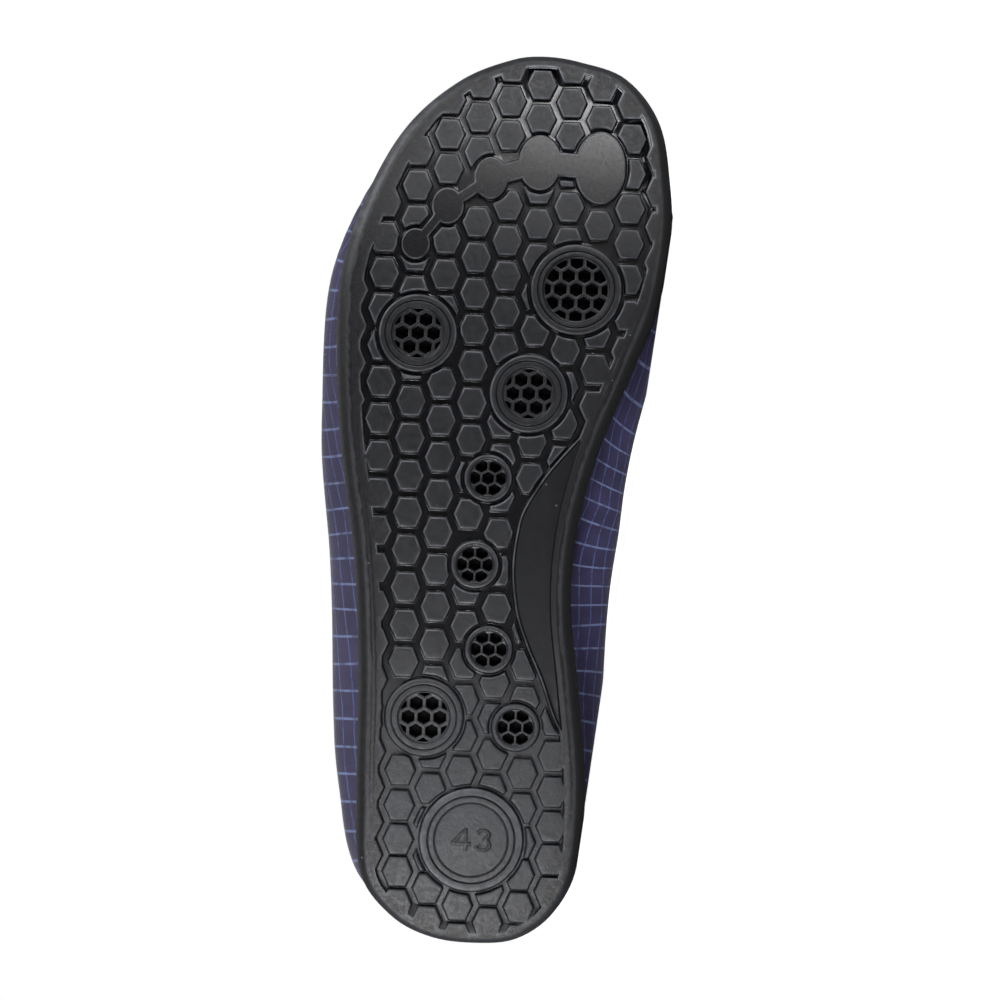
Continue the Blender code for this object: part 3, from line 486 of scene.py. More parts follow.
def rubber_material():
    """Black moulded rubber: dull lug tops, slick channels and pads, painted highlights on the lug edges, painted
    shade in the channels, mid tread, sides and digits, dust and lint.
    """
    paint = Paint("rubber_black", 0.5)
    paint.shader["Specular IOR Level"].default_value = 0.38
    place = paint.place()
    # The first attribute makes the rubber slick and darkens it as painted shade; the second is painted highlight
    # above zero and painted shade below it
    polish, wear = (
        paint.add("ShaderNodeAttribute", {"attribute_name": name}).outputs["Fac"] for name in ("polish", "wear")
    )
    cloud = paint.ramp(paint.noise(place, 45.0, 4.0), 0.35, 0.7)
    grain = paint.noise(place, 650.0, 5.0, 0.7)
    mottle = paint.ramp(paint.noise(place, 420.0, 4.0, 0.7), 0.38, 0.66)
    patchy = paint.ramp(paint.noise(place, 260.0, 3.0), 0.35, 0.62, 0.35, 1.0)
    scuff = paint.ramp(paint.noise(place, 220.0, 5.0, 0.65), 0.52, 0.72)
    cells = paint.add("ShaderNodeTexVoronoi", {"feature": "F1"}, Vector=place, Scale=330.0)
    chance = paint.add("ShaderNodeSeparateColor", Color=cells.outputs["Color"]).outputs[0]
    speck = paint.times(
        paint.ramp(chance, 0.93, 0.94), paint.ramp(cells.outputs["Distance"], 0.05, 0.11, 1.0, 0.0)
    )
    colour = paint.blend(cloud, (0.0080, 0.0086, 0.0108), (0.0125, 0.0133, 0.0165))
    for share, layer in (
        (paint.times(mottle, 0.5), (0.021, 0.022, 0.027)),
        (paint.times(scuff, 0.3), (0.030, 0.030, 0.034)),
        # painted highlight on the lug edges, the side and the size disc, mottled
        (paint.times(paint.ramp(wear, 0.0, 1.0), patchy), (0.16, 0.165, 0.185)),
        # painted shade, together with the gloss
        (polish, (0.003, 0.003, 0.004)),
        # painted shade on the rim, the side and the digits, and darker lug centres
        (paint.ramp(wear, 0.0, -1.0), (0.003, 0.003, 0.004)),
        (paint.times(speck, 0.45), (0.25, 0.25, 0.26)),
    ):
        colour = paint.blend(share, colour, layer)
    dull = paint.ramp(grain, 0.3, 0.7, 0.40, 0.58)
    gloss = paint.add("ShaderNodeMix", {"data_type": "FLOAT"}, i0=polish, i2=dull, i3=0.23)
    paint.link(gloss.outputs[0], paint.shader["Roughness"])
    relief = paint.times(grain, paint.math("SUBTRACT", 1.0, paint.times(polish, 1.3), True))
    return paint.finish(colour, relief, 0.75)


def fabric_material():
    """Navy stretch knit with a thin printed grid of pale lines."""
    paint = Paint("fabric_navy_grid", 0.85)
    uv = paint.add("ShaderNodeUVMap", {"uv_map": "cloth"}).outputs[0]
    warp = paint.add("ShaderNodeTexNoise", Vector=uv, Scale=18.0, Detail=1.0).outputs["Color"]
    warp = paint.add("ShaderNodeVectorMath", {"operation": "SUBTRACT"}, i0=warp, i1=(0.5, 0.5, 0.5)).outputs[0]
    settings = {"operation": "MULTIPLY_ADD"}
    bent = paint.add("ShaderNodeVectorMath", settings, i0=warp, i1=(0.006, 0.010, 0), i2=uv).outputs[0]
    bent, fine = (paint.add("ShaderNodeSeparateXYZ", Vector=vector).outputs for vector in (bent, uv))

    def lines(value, pitch, width):
        share = paint.math("FRACT", paint.math("DIVIDE", value, pitch))
        gap = paint.math("ABSOLUTE", paint.math("SUBTRACT", share, 0.5))
        return paint.ramp(gap, 0.5 * width / pitch, 0.25 * width / pitch)

    cross, along = lines(bent[0], 0.0094, 0.0011), lines(bent[1], 0.0048, 0.0007)
    patchy = paint.ramp(paint.noise(uv, 300.0, 3.0), 0.35, 0.55, 0.35, 1.0)
    knit = paint.times(lines(fine[0], 0.0007, 0.0009), lines(fine[1], 0.0009, 0.0012))
    colour = paint.blend(
        paint.ramp(paint.noise(uv, 60.0, 3.0), 0.3, 0.7), (0.025, 0.020, 0.070), (0.040, 0.032, 0.102)
    )
    for share, strength, layer in (
        (paint.times(along, patchy), 0.8, (0.085, 0.12, 0.31)),
        (paint.times(cross, patchy), 0.9, (0.18, 0.23, 0.44)),
        (paint.math("SUBTRACT", 1.0, knit), 0.25, (0.006, 0.005, 0.016)),
    ):
        colour = paint.blend(paint.times(share, strength), colour, layer)
    # Painted shade: the lateral side darkened, most far down from the ridge, the medial side not at all
    lateral_shade = paint.ramp(bent[1], -0.07, 0.02, 0.6, 1.0)
    colour = paint.blend(1.0, colour, lateral_shade, "MULTIPLY")
    paint.shader["Sheen Weight"].default_value = 0.2
    paint.shader["Sheen Roughness"].default_value = 0.4
    return paint.finish(colour, knit, 0.5)


def cloth_material(name, dark, light, pitch, roughness=0.9, foam=None):
    """A plain small-scale weave. Where foam gives a colour, what doesn't face away from the sole has it."""
    paint = Paint(name, roughness)
    place = paint.place()
    cells = paint.add("ShaderNodeTexVoronoi", {"feature": "F1"}, Vector=place, Scale=1 / pitch)
    weave = paint.ramp(cells.outputs["Distance"], 0.2, 0.6)
    colour = paint.blend(paint.ramp(paint.noise(place, 50.0, 3.0), 0.3, 0.7), dark, light)
    colour = paint.blend(paint.times(weave, 0.4), colour, tuple(0.4 * c for c in dark))
    if foam:
        normal = paint.add("ShaderNodeNewGeometry").outputs["Normal"]
        away = paint.add("ShaderNodeSeparateXYZ", Vector=normal).outputs[1]
        colour = paint.blend(paint.ramp(away, 0.2, 0.5), foam, colour)
        paint.shader["Specular IOR Level"].default_value = 0.2
    else:
        paint.shader["Sheen Weight"].default_value = 0.2
    return paint.finish(colour, weave, 0.5, invert=True)


def outward_of(grid, side):
    """Unit normals of one side's grid, pointing out of the shoe."""
    way = np.cross(np.gradient(grid, axis=0), np.gradient(grid, axis=1)) * (-1 if side else 1)
    return way / np.maximum(np.linalg.norm(way, axis=2), 1e-9)[:, :, None]


def girth_of(grid):
    """Distance up the cloth from the sole's floor, at each point of a grid."""
    run = np.linalg.norm(np.diff(grid, axis=1), axis=2)
    return np.concatenate([np.zeros((len(grid), 1)), np.cumsum(run, axis=1)], axis=1)


def creased(grid, side):
    """The grid with its creases and with puckers where the fabric meets the sole."""
    girth = girth_of(grid)
    down = girth[:, -1:] - girth
    above_cup = girth - girth[:, 1:2]
    moved = np.zeros(girth.shape)
    for along, from_ridge, slant, half_length, half_width, depth, sides in CREASES:
        if side in sides:
            off = (down / MM - from_ridge) / half_length
            gap = (grid[:, :, 0] / MM - along * SOLE_LENGTH / MM - slant * (down / MM - from_ridge)) / half_width
            fade = np.clip(1 - off * off, 0, 1) ** 2
            moved -= depth * MM * (1 - 1.1 * gap * gap) * np.exp(-gap * gap) * fade
    edge = np.cumsum(np.concatenate([[0], np.linalg.norm(np.diff(grid[:, 1, :2], axis=0), axis=1)]))
    wave = np.sin(2 * math.pi * edge / PUCKER_PITCH + 2.2 * np.sin(edge / (17 * MM)))
    gather = np.interp(station_shares(), (0, 0.12, 0.3, 0.6, 0.85, 1), (1, 0.9, 0.45, 0.45, 1, 1))
    fade = np.exp(-((above_cup / PUCKER_REACH) ** 2)) * np.clip(above_cup / (1.5 * MM), 0, 1)
    moved += PUCKER_DEPTH * (wave * gather)[:, None] * fade
    ends = np.clip(np.minimum(np.arange(len(grid)), np.arange(len(grid))[::-1]) / 4, 0, 1)[:, None]
    return grid + outward_of(grid, side) * (moved * ends)[:, :, None]


def print_places(grid, side):
    """The place of each point of a grid on the flat printed cloth: along it, and across it from the ridge."""
    shares = station_shares()
    girth = girth_of(grid)
    full = girth[:, -1].copy()
    full[:BEHIND_THROAT] = full[BEHIND_THROAT]
    foot = [points[:, 1] for points, _ in outline_sides(shares)]
    forward, half_width = TOE_DOME * shares ** 3, (foot[1] - foot[0]) / 2
    reach = np.hypot(forward, half_width)
    down = full[:, None] - girth
    near_sole = girth / full[:, None]
    share, *slants = columns(PRINT_SLANT)
    slant = np.interp(shares, share, slants[side])
    rise = np.interp(shares, *columns(PRINT_RISE)) * MM
    crowding = np.interp(shares, *columns(PRINT_CROWDING)) * MM * side
    along = (shares * SOLE_LENGTH - forward)[:, None] + down * (forward / reach)[:, None]
    along += (slant * full)[:, None] * near_sole * (1 - near_sole) ** 1.5
    along += crowding[:, None] * (1 - near_sole) ** 2
    across = down * (half_width / reach)[:, None] + rise[:, None] * (1 - near_sole) ** 2
    return along, across if side else -across


def upper_shell(fabric, lining):
    """The upper: the fabric outside, the lining inside, with the print laid out on the cloth."""
    grids = [creased(grid, side) for side, grid in enumerate(upper_grids())]
    mesh = bmesh.new()
    layer = mesh.loops.layers.uv.new("cloth")
    for side, grid in enumerate(grids):
        along, across = print_places(grid, side)
        made = [[mesh.verts.new(p) for p in line] for line in to_floor(grid)]
        for i in range(len(grid) - 1):
            for j in range(grid.shape[1] - 1):
                corners = [(i, j), (i + 1, j), (i + 1, j + 1), (i, j + 1)]
                if side:
                    corners.reverse()
                face = mesh.faces.new([made[a][b] for a, b in corners])
                for loop, (a, b) in zip(face.loops, corners):
                    loop[layer].uv = (along[a, b], across[a, b])
    toe_end = Vector(to_floor(grids[0][-1, -1]))
    near = [vert for vert in mesh.verts if (vert.co - toe_end).length < 1.0 * MM]
    bmesh.ops.pointmerge(mesh, verts=near, merge_co=toe_end)
    bmesh.ops.remove_doubles(mesh, verts=mesh.verts, dist=0.02 * MM)
    bmesh.ops.dissolve_degenerate(mesh, edges=mesh.edges, dist=0.005 * MM)
    shell = linked("upper_shell", mesh, fabric, lining)
    wall = shell.modifiers.new("wall", "SOLIDIFY")
    wall.thickness, wall.offset = UPPER_WALL, -1
    wall.material_offset, wall.material_offset_rim = 1, 1
    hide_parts("upper")
    return grids


def collar_lines(grids, profile):
    """Lines round the collar, one for each pair of a distance down the cloth and one away from it."""
    found = []
    for side, grid in enumerate(grids):
        behind = grid[: BEHIND_THROAT + 1]
        girth, out = girth_of(behind), outward_of(grid, side)[: BEHIND_THROAT + 1]
        lines = []
        for below, away in profile:
            line = []
            for i in range(len(behind)):
                where = girth[i, -1] - max(below, 0) * MM
                point = np.array([np.interp(where, girth[i], behind[i, :, n]) for n in range(3)])
                way = np.array([np.interp(where, girth[i], out[i, :, n]) for n in range(3)])
                rise = behind[i, -1] - behind[i, -2]
                rise /= np.linalg.norm(rise)
                line.append(point + way / np.linalg.norm(way) * away * MM - rise * min(below, 0) * MM)
            lines.append(line)
        found.append(np.array(lines))
    lateral, medial = found
    return [np.vstack([a, b[-2:0:-1]]) for a, b in zip(lateral, medial)]


def softened(line, rounds):
    """A closed line of points with its sharp turns eased."""
    for _ in range(rounds):
        line = (np.roll(line, 1, axis=0) + 2 * line + np.roll(line, -1, axis=0)) / 4
    return line


def collar_binding(grids, cloth):
    """The stretch tape folded over the collar's edge."""
    mesh = bmesh.new()
    lines = [to_floor(softened(line, 3)) for line in collar_lines(grids, BINDING_PROFILE)]
    made = [[mesh.verts.new(p) for p in line] for line in lines]
    for low, high in zip(made, made[1:] + made[:1]):
        for i in range(len(low)):
            j = (i + 1) % len(low)
            mesh.faces.new((low[i], low[j], high[j], high[i]))
    bmesh.ops.recalc_face_normals(mesh, faces=mesh.faces)
    linked("collar_binding", mesh, cloth)


def stitch_row(mesh, line, out):
    """Adds a row of short rounded stitches along an open line of points that lie on the cloth."""
    run = np.concatenate([[0], np.cumsum(np.linalg.norm(np.diff(line, axis=0), axis=1))])
    pitch = STITCH_LENGTH + STITCH_GAP
    for number in range(int(run[-1] / pitch)):
        rings = []
        for share, swell in ((0.0, 0.25), (0.15, 0.8), (0.5, 1.0), (0.85, 0.8), (1.0, 0.25)):
            where = number * pitch + STITCH_LENGTH * share
            point, way, ahead = (
                np.array([np.interp(where, run, values[:, n]) for n in range(3)])
                for values in (line, out, np.gradient(line, axis=0))
            )
            way /= np.linalg.norm(way)
            aside = np.cross(way, ahead)
            aside /= np.linalg.norm(aside)
            centre = point + way * STITCH_THICKNESS * (swell - 0.85)
            turns = np.arange(6) * math.pi / 3
            rings.append([
                mesh.verts.new(centre + STITCH_THICKNESS * swell * (aside * math.cos(t) + way * math.sin(t)))
                for t in turns
            ])
        for low, high in zip(rings, rings[1:]):
            for i in range(6):
                mesh.faces.new((low[i], low[(i + 1) % 6], high[(i + 1) % 6], high[i]))
        mesh.faces.new(rings[0][::-1])
        mesh.faces.new(rings[-1])


def stitches(grids, thread):
    """The seam round the binding and the two rows beside the seam at the back of the heel."""
    mesh = bmesh.new()
    low, line, high = (softened(row, 3) for row in collar_lines(grids, ((4.9, 0.0), (4.9, 0.66), (4.9, 2.0))))
    stitch_row(mesh, to_floor(line), (high - low) @ AXES.T)
    for side, grid in enumerate(grids):
        out = outward_of(grid, side)
        levels = np.arange(3, grid.shape[1] - 7)
        beside = np.array([
            [np.interp(2.2 * MM, np.abs(grid[:12, j, 1] - grid[0, j, 1]), grid[:12, j, n]) for n in range(3)]
            for j in levels
        ])
        stitch_row(mesh, to_floor(beside), out[3, levels] @ AXES.T)
    bmesh.ops.recalc_face_normals(mesh, faces=mesh.faces)
    linked("seam_stitches", mesh, thread)


def place_of(along, across):
    """A plan point of the tread's pattern from its shares of the length and the ball width."""
    along = along * SOLE_LENGTH
    return np.array([along + pattern_shift(along), across * BALL_WIDTH])


def ellipse(centre, half_length, half_width, sides):
    angle = np.arange(sides) * 2 * math.pi / sides
    return np.stack([centre[0] + half_length * np.cos(angle), centre[1] + half_width * np.sin(angle)], axis=1)


def outline_loop(count=300):
    """The sole's outline as evenly spaced points, with its outward normals."""
    curve = sole_curve()
    run = np.linalg.norm(np.roll(curve, -1, axis=0) - curve, axis=1)
    reach = np.concatenate([[0], np.cumsum(run)])
    closed = np.vstack([curve, curve[:1]])
    where = np.arange(count) * reach[-1] / count
    loop = np.stack([np.interp(where, reach, closed[:, n]) for n in (0, 1)], axis=1)
    tangent = np.roll(loop, -1, axis=0) - np.roll(loop, 1, axis=0)
    tangent /= np.linalg.norm(tangent, axis=1)[:, None]
    return loop, np.stack([tangent[:, 1], -tangent[:, 0]], axis=1)


def lug_hexagons():
    """The hexagon grid over the whole sole, as plan outlines."""
    half_flat, half_wide, half_long = LUG_FLAT / 2, LUG_WIDTH / 2, LUG_LENGTH / 2
    corners = np.array([
        (half_long, -half_flat), (half_long, half_flat), (0, half_wide),
        (-half_long, half_flat), (-half_long, -half_flat), (0, -half_wide),
    ])
    rows = int(SOLE_LENGTH / LUG_PITCH_ALONG) + 2
    made = []
    for column in range(-6, 9):
        for row in range(-rows, rows):
            offset = 0.5 if column % 2 else 0.0
            along = LUG_CENTRE_ALONG * SOLE_LENGTH + (row + offset) * LUG_PITCH_ALONG
            made.append(corners + (along + pattern_shift(along), column * LUG_PITCH_ACROSS))
    return made


def toe_pad_shapes(grow):
    """The toe pads and the bars that join them, grown by a margin, as plan outlines."""
    shapes = []
    for pad, following in zip(TOE_PADS, (*TOE_PADS[1:], None)):
        along, across, half_length, half_width, bar = pad
        centre = place_of(along, across)
        shapes.append(ellipse(centre, half_length * BALL_WIDTH + grow, half_width * BALL_WIDTH + grow, 48))
        if following:
            other = place_of(*following[:2])
            way = (other - centre) / np.linalg.norm(other - centre)
            aside = np.array([-way[1], way[0]]) * (bar * BALL_WIDTH / 2 + grow)
            shapes.append(np.array([centre + aside, centre - aside, other - aside, other + aside]))
    return shapes


def arch_shape(grow):
    """The arch panel's outline, grown towards the lugs. It runs past the rim on its other side."""
    edge = np.array([place_of(*point) for point in ARCH_EDGE])
    reach = np.concatenate([[0], np.cumsum(np.linalg.norm(np.diff(edge, axis=0), axis=1))])
    where = np.linspace(0, reach[-1], 60)
    along, across = (smooth(reach, edge[:, n], where) for n in (0, 1))
    return np.vstack([np.stack([along, across - grow], axis=1), [place_of(*point) for point in ARCH_CLOSING]])


def inside(polygon, points):
    x, y = points[:, 0], points[:, 1]
    found = np.zeros(len(points), bool)
    for (x0, y0), (x1, y1) in zip(polygon, np.roll(polygon, -1, axis=0)):
        if y0 != y1:
            found ^= ((y0 > y) != (y1 > y)) & (x < (x1 - x0) * (y - y0) / (y1 - y0) + x0)
    return found


def inside_any(polygons, points):
    found = np.zeros(len(points), bool)
    for polygon in polygons:
        found |= inside(polygon, points)
    return found


def triangulate(loops, extra=()):
    """Triangles that keep every loop's edges: points, faces."""
    points, edges = [], []
    for loop in loops:
        first = len(points)
        points += [Vector(p) for p in loop]
        edges += [(first + i, first + (i + 1) % len(loop)) for i in range(len(loop))]
    points += [Vector(p) for p in extra]
    found, _, faces, _, _, _ = delaunay_2d_cdt(points, edges, [], 0, 1e-7)
    return np.array([tuple(p) for p in found]), np.array([tuple(f) for f in faces], int)


def without_small_islands(faces, land, areas):
    """Land that isn't joined to the rim and is too small to mould becomes channel."""
    sides = {}
    for index, (a, b, c) in enumerate(faces):
        for edge in ((a, b), (b, c), (c, a)):
            sides.setdefault(frozenset(edge), []).append(index)
    near = [[] for _ in faces]
    for pair in sides.values():
        if len(pair) == 2 and land[pair[0]] == land[pair[1]]:
            near[pair[0]].append(pair[1])
            near[pair[1]].append(pair[0])
    seen, kept = np.zeros(len(faces), bool), land.copy()
    for start in np.flatnonzero(land):
        if seen[start]:
            continue
        island, waiting = [], [start]
        seen[start] = True
        while waiting:
            face = waiting.pop()
            island.append(face)
            for other in near[face]:
                if not seen[other]:
                    seen[other] = True
                    waiting.append(other)
        if areas[island].sum() < SMALLEST_LUG_AREA:
            kept[island] = False
    return kept


def boundary_loops(points, faces, land):
    """The closed lines between land and channel, with the channel on their left."""
    owner = {}
    for index, (a, b, c) in enumerate(faces):
        for edge in ((a, b), (b, c), (c, a)):
            owner[edge] = index
    following = {}
    for (a, b), index in owner.items():
        other = owner.get((b, a))
        if other is not None and not land[index] and land[other]:
            following.setdefault(a, []).append(b)
    loops = []
    while following:
        start = next(iter(following))
        loop, here = [start], start
        while True:
            there = following[here].pop()
            if not following[here]:
                del following[here]
            if there == start:
                break
            loop.append(there)
            here = there
        loops.append(tidied(points[loop]))
    return [loop for loop in loops if len(loop) > 2]


def tidied(loop, shortest=0.25 * MM, straight=0.006 * MM):
    """The loop without very short edges and without points on a straight run."""
    kept = [loop[0]]
    for point in loop[1:]:
        if np.linalg.norm(point - kept[-1]) > shortest:
            kept.append(point)
    if len(kept) > 2 and np.linalg.norm(kept[0] - kept[-1]) <= shortest:
        kept.pop()
    index = 0
    while len(kept) > 3 and index < len(kept):
        a, b, c = kept[index - 1], kept[index], kept[(index + 1) % len(kept)]
        chord = c - a
        off = abs(chord[0] * (b - a)[1] - chord[1] * (b - a)[0]) / max(np.linalg.norm(chord), 1e-12)
        if off < straight:
            kept.pop(index)
        else:
            index += 1
    return np.array(kept)


def offset_loop(loop, distance):
    """The loop moved to its left by a distance, with its corners mitred."""
    ahead = np.roll(loop, -1, axis=0) - loop
    ahead /= np.linalg.norm(ahead, axis=1)[:, None]
    left = np.stack([-ahead[:, 1], ahead[:, 0]], axis=1)
    both = left + np.roll(left, 1, axis=0)
    both /= np.maximum(np.linalg.norm(both, axis=1), 0.2)[:, None]
    stretch = 1 / np.maximum(np.sum(both * left, axis=1), 0.5)
    return loop + both * (stretch * distance)[:, None]


def distance_to(loops, points):
    """Distance from each point to the nearest loop, less than zero outside them."""
    starts = np.vstack(loops)
    ends = np.vstack([np.roll(loop, -1, axis=0) for loop in loops])
    run = ends - starts
    length = np.maximum(np.sum(run * run, axis=1), 1e-18)
    found = np.empty(len(points))
    for index, point in enumerate(points):
        share = np.clip(np.sum((point - starts) * run, axis=1) / length, 0, 1)
        gap = point - (starts + run * share[:, None])
        nearest = math.sqrt(np.min(np.sum(gap * gap, axis=1)))
        crosses = (starts[:, 1] > point[1]) != (ends[:, 1] > point[1])
        rise = np.where(crosses, run[:, 1], 1)
        meets = starts[:, 0] + run[:, 0] * (point[1] - starts[:, 1]) / rise
        found[index] = nearest if np.sum(crosses & (point[0] < meets)) % 2 else -nearest
    return found


def round_features():
    """The centre, ring radius and depth profile of each vent and of the size disc."""
    made = [(place_of(*place), VENT_SIZES[size]["ring"], VENT_SIZES[size]["profile"]) for *place, size in VENTS]
    return made + [(place_of(*SIZE_DISC), SIZE_DISC_RING, SIZE_DISC_PROFILE)]


def channel_loops(loop, normals):
    """The edges of the channels between the lugs."""
    rim_line = inset_line(loop, normals, edge_inset(loop[:, 0]) + rim_width(loop, normals))
    hexagons = [h for h in lug_hexagons() if inside(rim_line, h).any()]
    features, grown = (
        [ellipse(centre, ring + grow, ring + grow, 64) for centre, ring, _ in round_features()]
        + [*toe_pad_shapes(grow), arch_shape(grow)]
        for grow in (0, FEATURE_GAP)
    )
    points, faces = triangulate([rim_line, *hexagons, *features, *grown])
    corners = points[faces]
    centres = corners.mean(axis=1)
    land = inside_any(hexagons, centres) & ~inside_any(grown, centres)
    land |= ~inside(rim_line, centres) | inside_any(features, centres)
    run, rise = corners[:, 1] - corners[:, 0], corners[:, 2] - corners[:, 0]
    areas = np.abs(run[:, 0] * rise[:, 1] - run[:, 1] * rise[:, 0]) / 2
    return boundary_loops(points, faces, without_small_islands(faces, land, areas))


def clipped_by_circle(polygon, centre, radius, sides=48):
    """The part of a convex polygon inside a circle drawn with straight sides."""
    ring = ellipse(centre, radius, radius, sides)
    kept = [np.array(p) for p in polygon]
    for a, b in zip(ring, np.roll(ring, -1, axis=0)):
        edge = b - a
        level = [edge[0] * (p - a)[1] - edge[1] * (p - a)[0] for p in kept]
        clipped = []
        for i, point in enumerate(kept):
            j = (i + 1) % len(kept)
            if level[i] >= 0:
                clipped.append(point)
            if (level[i] >= 0) != (level[j] >= 0):
                clipped.append(point + (kept[j] - point) * level[i] / (level[i] - level[j]))
        kept = clipped
        if len(kept) < 3:
            return None
    return np.array(kept)


def polygon_area(polygon):
    x, y = polygon[:, 0], polygon[:, 1]
    return abs(np.sum(x * np.roll(y, -1) - np.roll(x, -1) * y)) / 2


def vent_holes():
    """The drain holes: a honeycomb of small hexagons in each vent, trimmed to its grille."""
    angle = np.arange(6) * math.pi / 3
    holes = []
    for *place, size in VENTS:
        centre, sizes = place_of(*place), VENT_SIZES[size]
        pitch = sizes["cell"]
        cell = np.stack([np.cos(angle), np.sin(angle)], axis=1) * sizes["hole"] / math.sqrt(3)
        reach = int(sizes["grille"] / pitch) + 2
        for row in range(-reach, reach + 1):
            for column in range(-reach, reach + 1):
                shift = np.array([row * pitch * math.sqrt(3) / 2, (column + (row % 2) / 2) * pitch])
                hole = clipped_by_circle(cell + centre + shift, centre, sizes["grille"])
                if hole is not None and polygon_area(hole) > SMALLEST_HOLE_AREA:
                    holes.append(tidied(hole))
    return holes


def arch_panel_loop(loop, normals):
    """The arch panel: its edge against the lugs, closed along the rim."""
    ridge_line = inset_line(loop, normals, edge_inset(loop[:, 0]) + ARCH_RIDGE)
    outline = arch_shape(0)
    points, faces = triangulate([ridge_line, outline])
    centres = points[faces].mean(axis=1)
    in_panel = inside(ridge_line, centres) & inside(outline, centres)
    return max(boundary_loops(points, faces, ~in_panel), key=polygon_area)


def stroke_outline(line, width):
    """A line of a digit, given its width, as a closed plan outline."""
    ahead = np.gradient(line, axis=0)
    ahead /= np.linalg.norm(ahead, axis=1)[:, None]
    aside = np.stack([-ahead[:, 1], ahead[:, 0]], axis=1) * width / 2
    return np.vstack([line + aside, (line - aside)[::-1]])


def digit_loops():
    """The edges of the size digits, each read with the toe up."""
    strokes = []
    for line in DIGIT_LINES:
        plan = place_of(*SIZE_DISC) + np.array(line)[:, ::-1] * MM
        strokes.append(stroke_outline(plan, DIGIT_STROKE))
    face = ellipse(place_of(*SIZE_DISC), 10 * MM, 10 * MM, 24)
    points, faces = triangulate([face, *strokes])
    return boundary_loops(points, faces, ~inside_any(strokes, points[faces].mean(axis=1)))


def read_off(profile, reach):
    """Numbers from a table whose first column is in millimetres, at distances in metres."""
    return np.interp(reach / MM, *columns(profile))


def tread_depth(points, channels, panel, digits, holes, tread_edge):
    """How far each point of the underside lies above the tread plane, and its share of the channel's depth."""
    in_channel = read_off(WALL_PROFILE, distance_to(channels, points))
    depth = CHANNEL_DEPTH * in_channel
    for centre, _, profile in round_features():
        reach = np.linalg.norm(points - centre, axis=1)
        depth = np.where(reach < profile[-1][0] * MM, read_off(profile, reach) * MM, depth)
    depth = np.maximum(depth, read_off(PANEL_PROFILE, distance_to([panel], points)) * MM)
    depth -= read_off(DIGIT_PROFILE, distance_to(digits, points)) * MM
    from_edge = distance_to([tread_edge], points)
    on_rim = from_edge < RIM_PROFILE[-1][0] * MM
    bead = np.interp(points[:, 0] / SOLE_LENGTH, (0.12, 0.2, 0.66, 0.74), (0, 1, 1, 0))
    depth = np.where(on_rim, read_off(RIM_PROFILE, from_edge) * MM * bead, depth)
    at_hole = np.abs(distance_to(holes, points)) < 0.02 * MM
    return depth + np.where(at_hole, HOLE_CHAMFER, 0), in_channel


def open_faces(points, faces, outline, holes):
    """The faces inside the outline and outside every hole."""
    centres = points[faces].mean(axis=1)
    kept = inside(outline, centres)
    for hole in holes:
        near = np.all((centres > hole.min(axis=0)) & (centres < hole.max(axis=0)), axis=1)
        kept[near] &= ~inside(hole, centres[near])
    return faces[kept]


def add_sheet(mesh, points, faces, flip, **paint):
    made = [mesh.verts.new(p) for p in points]
    for name, values in paint.items():
        layer = mesh.verts.layers.float[name]
        for vert, value in zip(made, values):
            vert[layer] = value
    for a, b, c in faces:
        mesh.faces.new((made[a], made[c], made[b]) if flip else (made[a], made[b], made[c]))


def add_band(mesh, rings, **paint):
    """Joins closed rings of as many points each, one after the other, with quads."""
    made = [[mesh.verts.new(p) for p in ring] for ring in rings]
    for name, values in paint.items():
        layer = mesh.verts.layers.float[name]
        for ring in made[2:]:
            for vert, value in zip(ring, values):
                vert[layer] = value
    for lower, upper in zip(made, made[1:]):
        for i in range(len(lower)):
            j = (i + 1) % len(lower)
            mesh.faces.new((lower[i], lower[j], upper[j], upper[i]))


def laid(points, heights):
    """Plan points at heights above the unsprung tread, laid on the floor."""
    return to_floor(np.column_stack([points, heights + spring(points[:, 0])]))


def side_rings(loop, normals):
    """Rings from the tread's edge up the moulded side, over its rim and down to the inner floor."""
    share, height = columns(SIDE)
    top = SIDE_HEIGHT * smooth(share, height, loop[:, 0] / SOLE_LENGTH)
    rings = []
    for turn in np.linspace(0, math.pi / 2, 10):
        inset, rise = edge_inset(loop[:, 0]) * (1 - math.sin(turn)), EDGE_RISE * (1 - math.cos(turn))
        rings.append(laid(inset_line(loop, normals, inset), np.full(len(loop), rise)))
    half = CUP_WALL / 2
    for share in (0.25, 0.5, 0.75):
        rings.append(laid(loop, EDGE_RISE + (top - half - EDGE_RISE) * share))
    for turn in np.linspace(0, math.pi, 9):
        rings.append(laid(loop - normals * half * (1 - math.cos(turn)), top - half + half * math.sin(turn)))
    return rings + [laid(loop - normals * CUP_WALL, np.full(len(loop), SOLE_FLOOR))]


def side_wear(loop, normals):
    """Painted light on the moulded side: painted highlight at the heel and on the toe's lateral side, painted
    shade elsewhere.
    """
    share = loop[:, 0] / SOLE_LENGTH
    place, lateral, medial = columns(SIDE_PAINTED_LIGHT)
    to_medial = np.clip(0.5 + normals[:, 1], 0, 1)
    return np.interp(share, place, lateral) * (1 - to_medial) + np.interp(share, place, medial) * to_medial


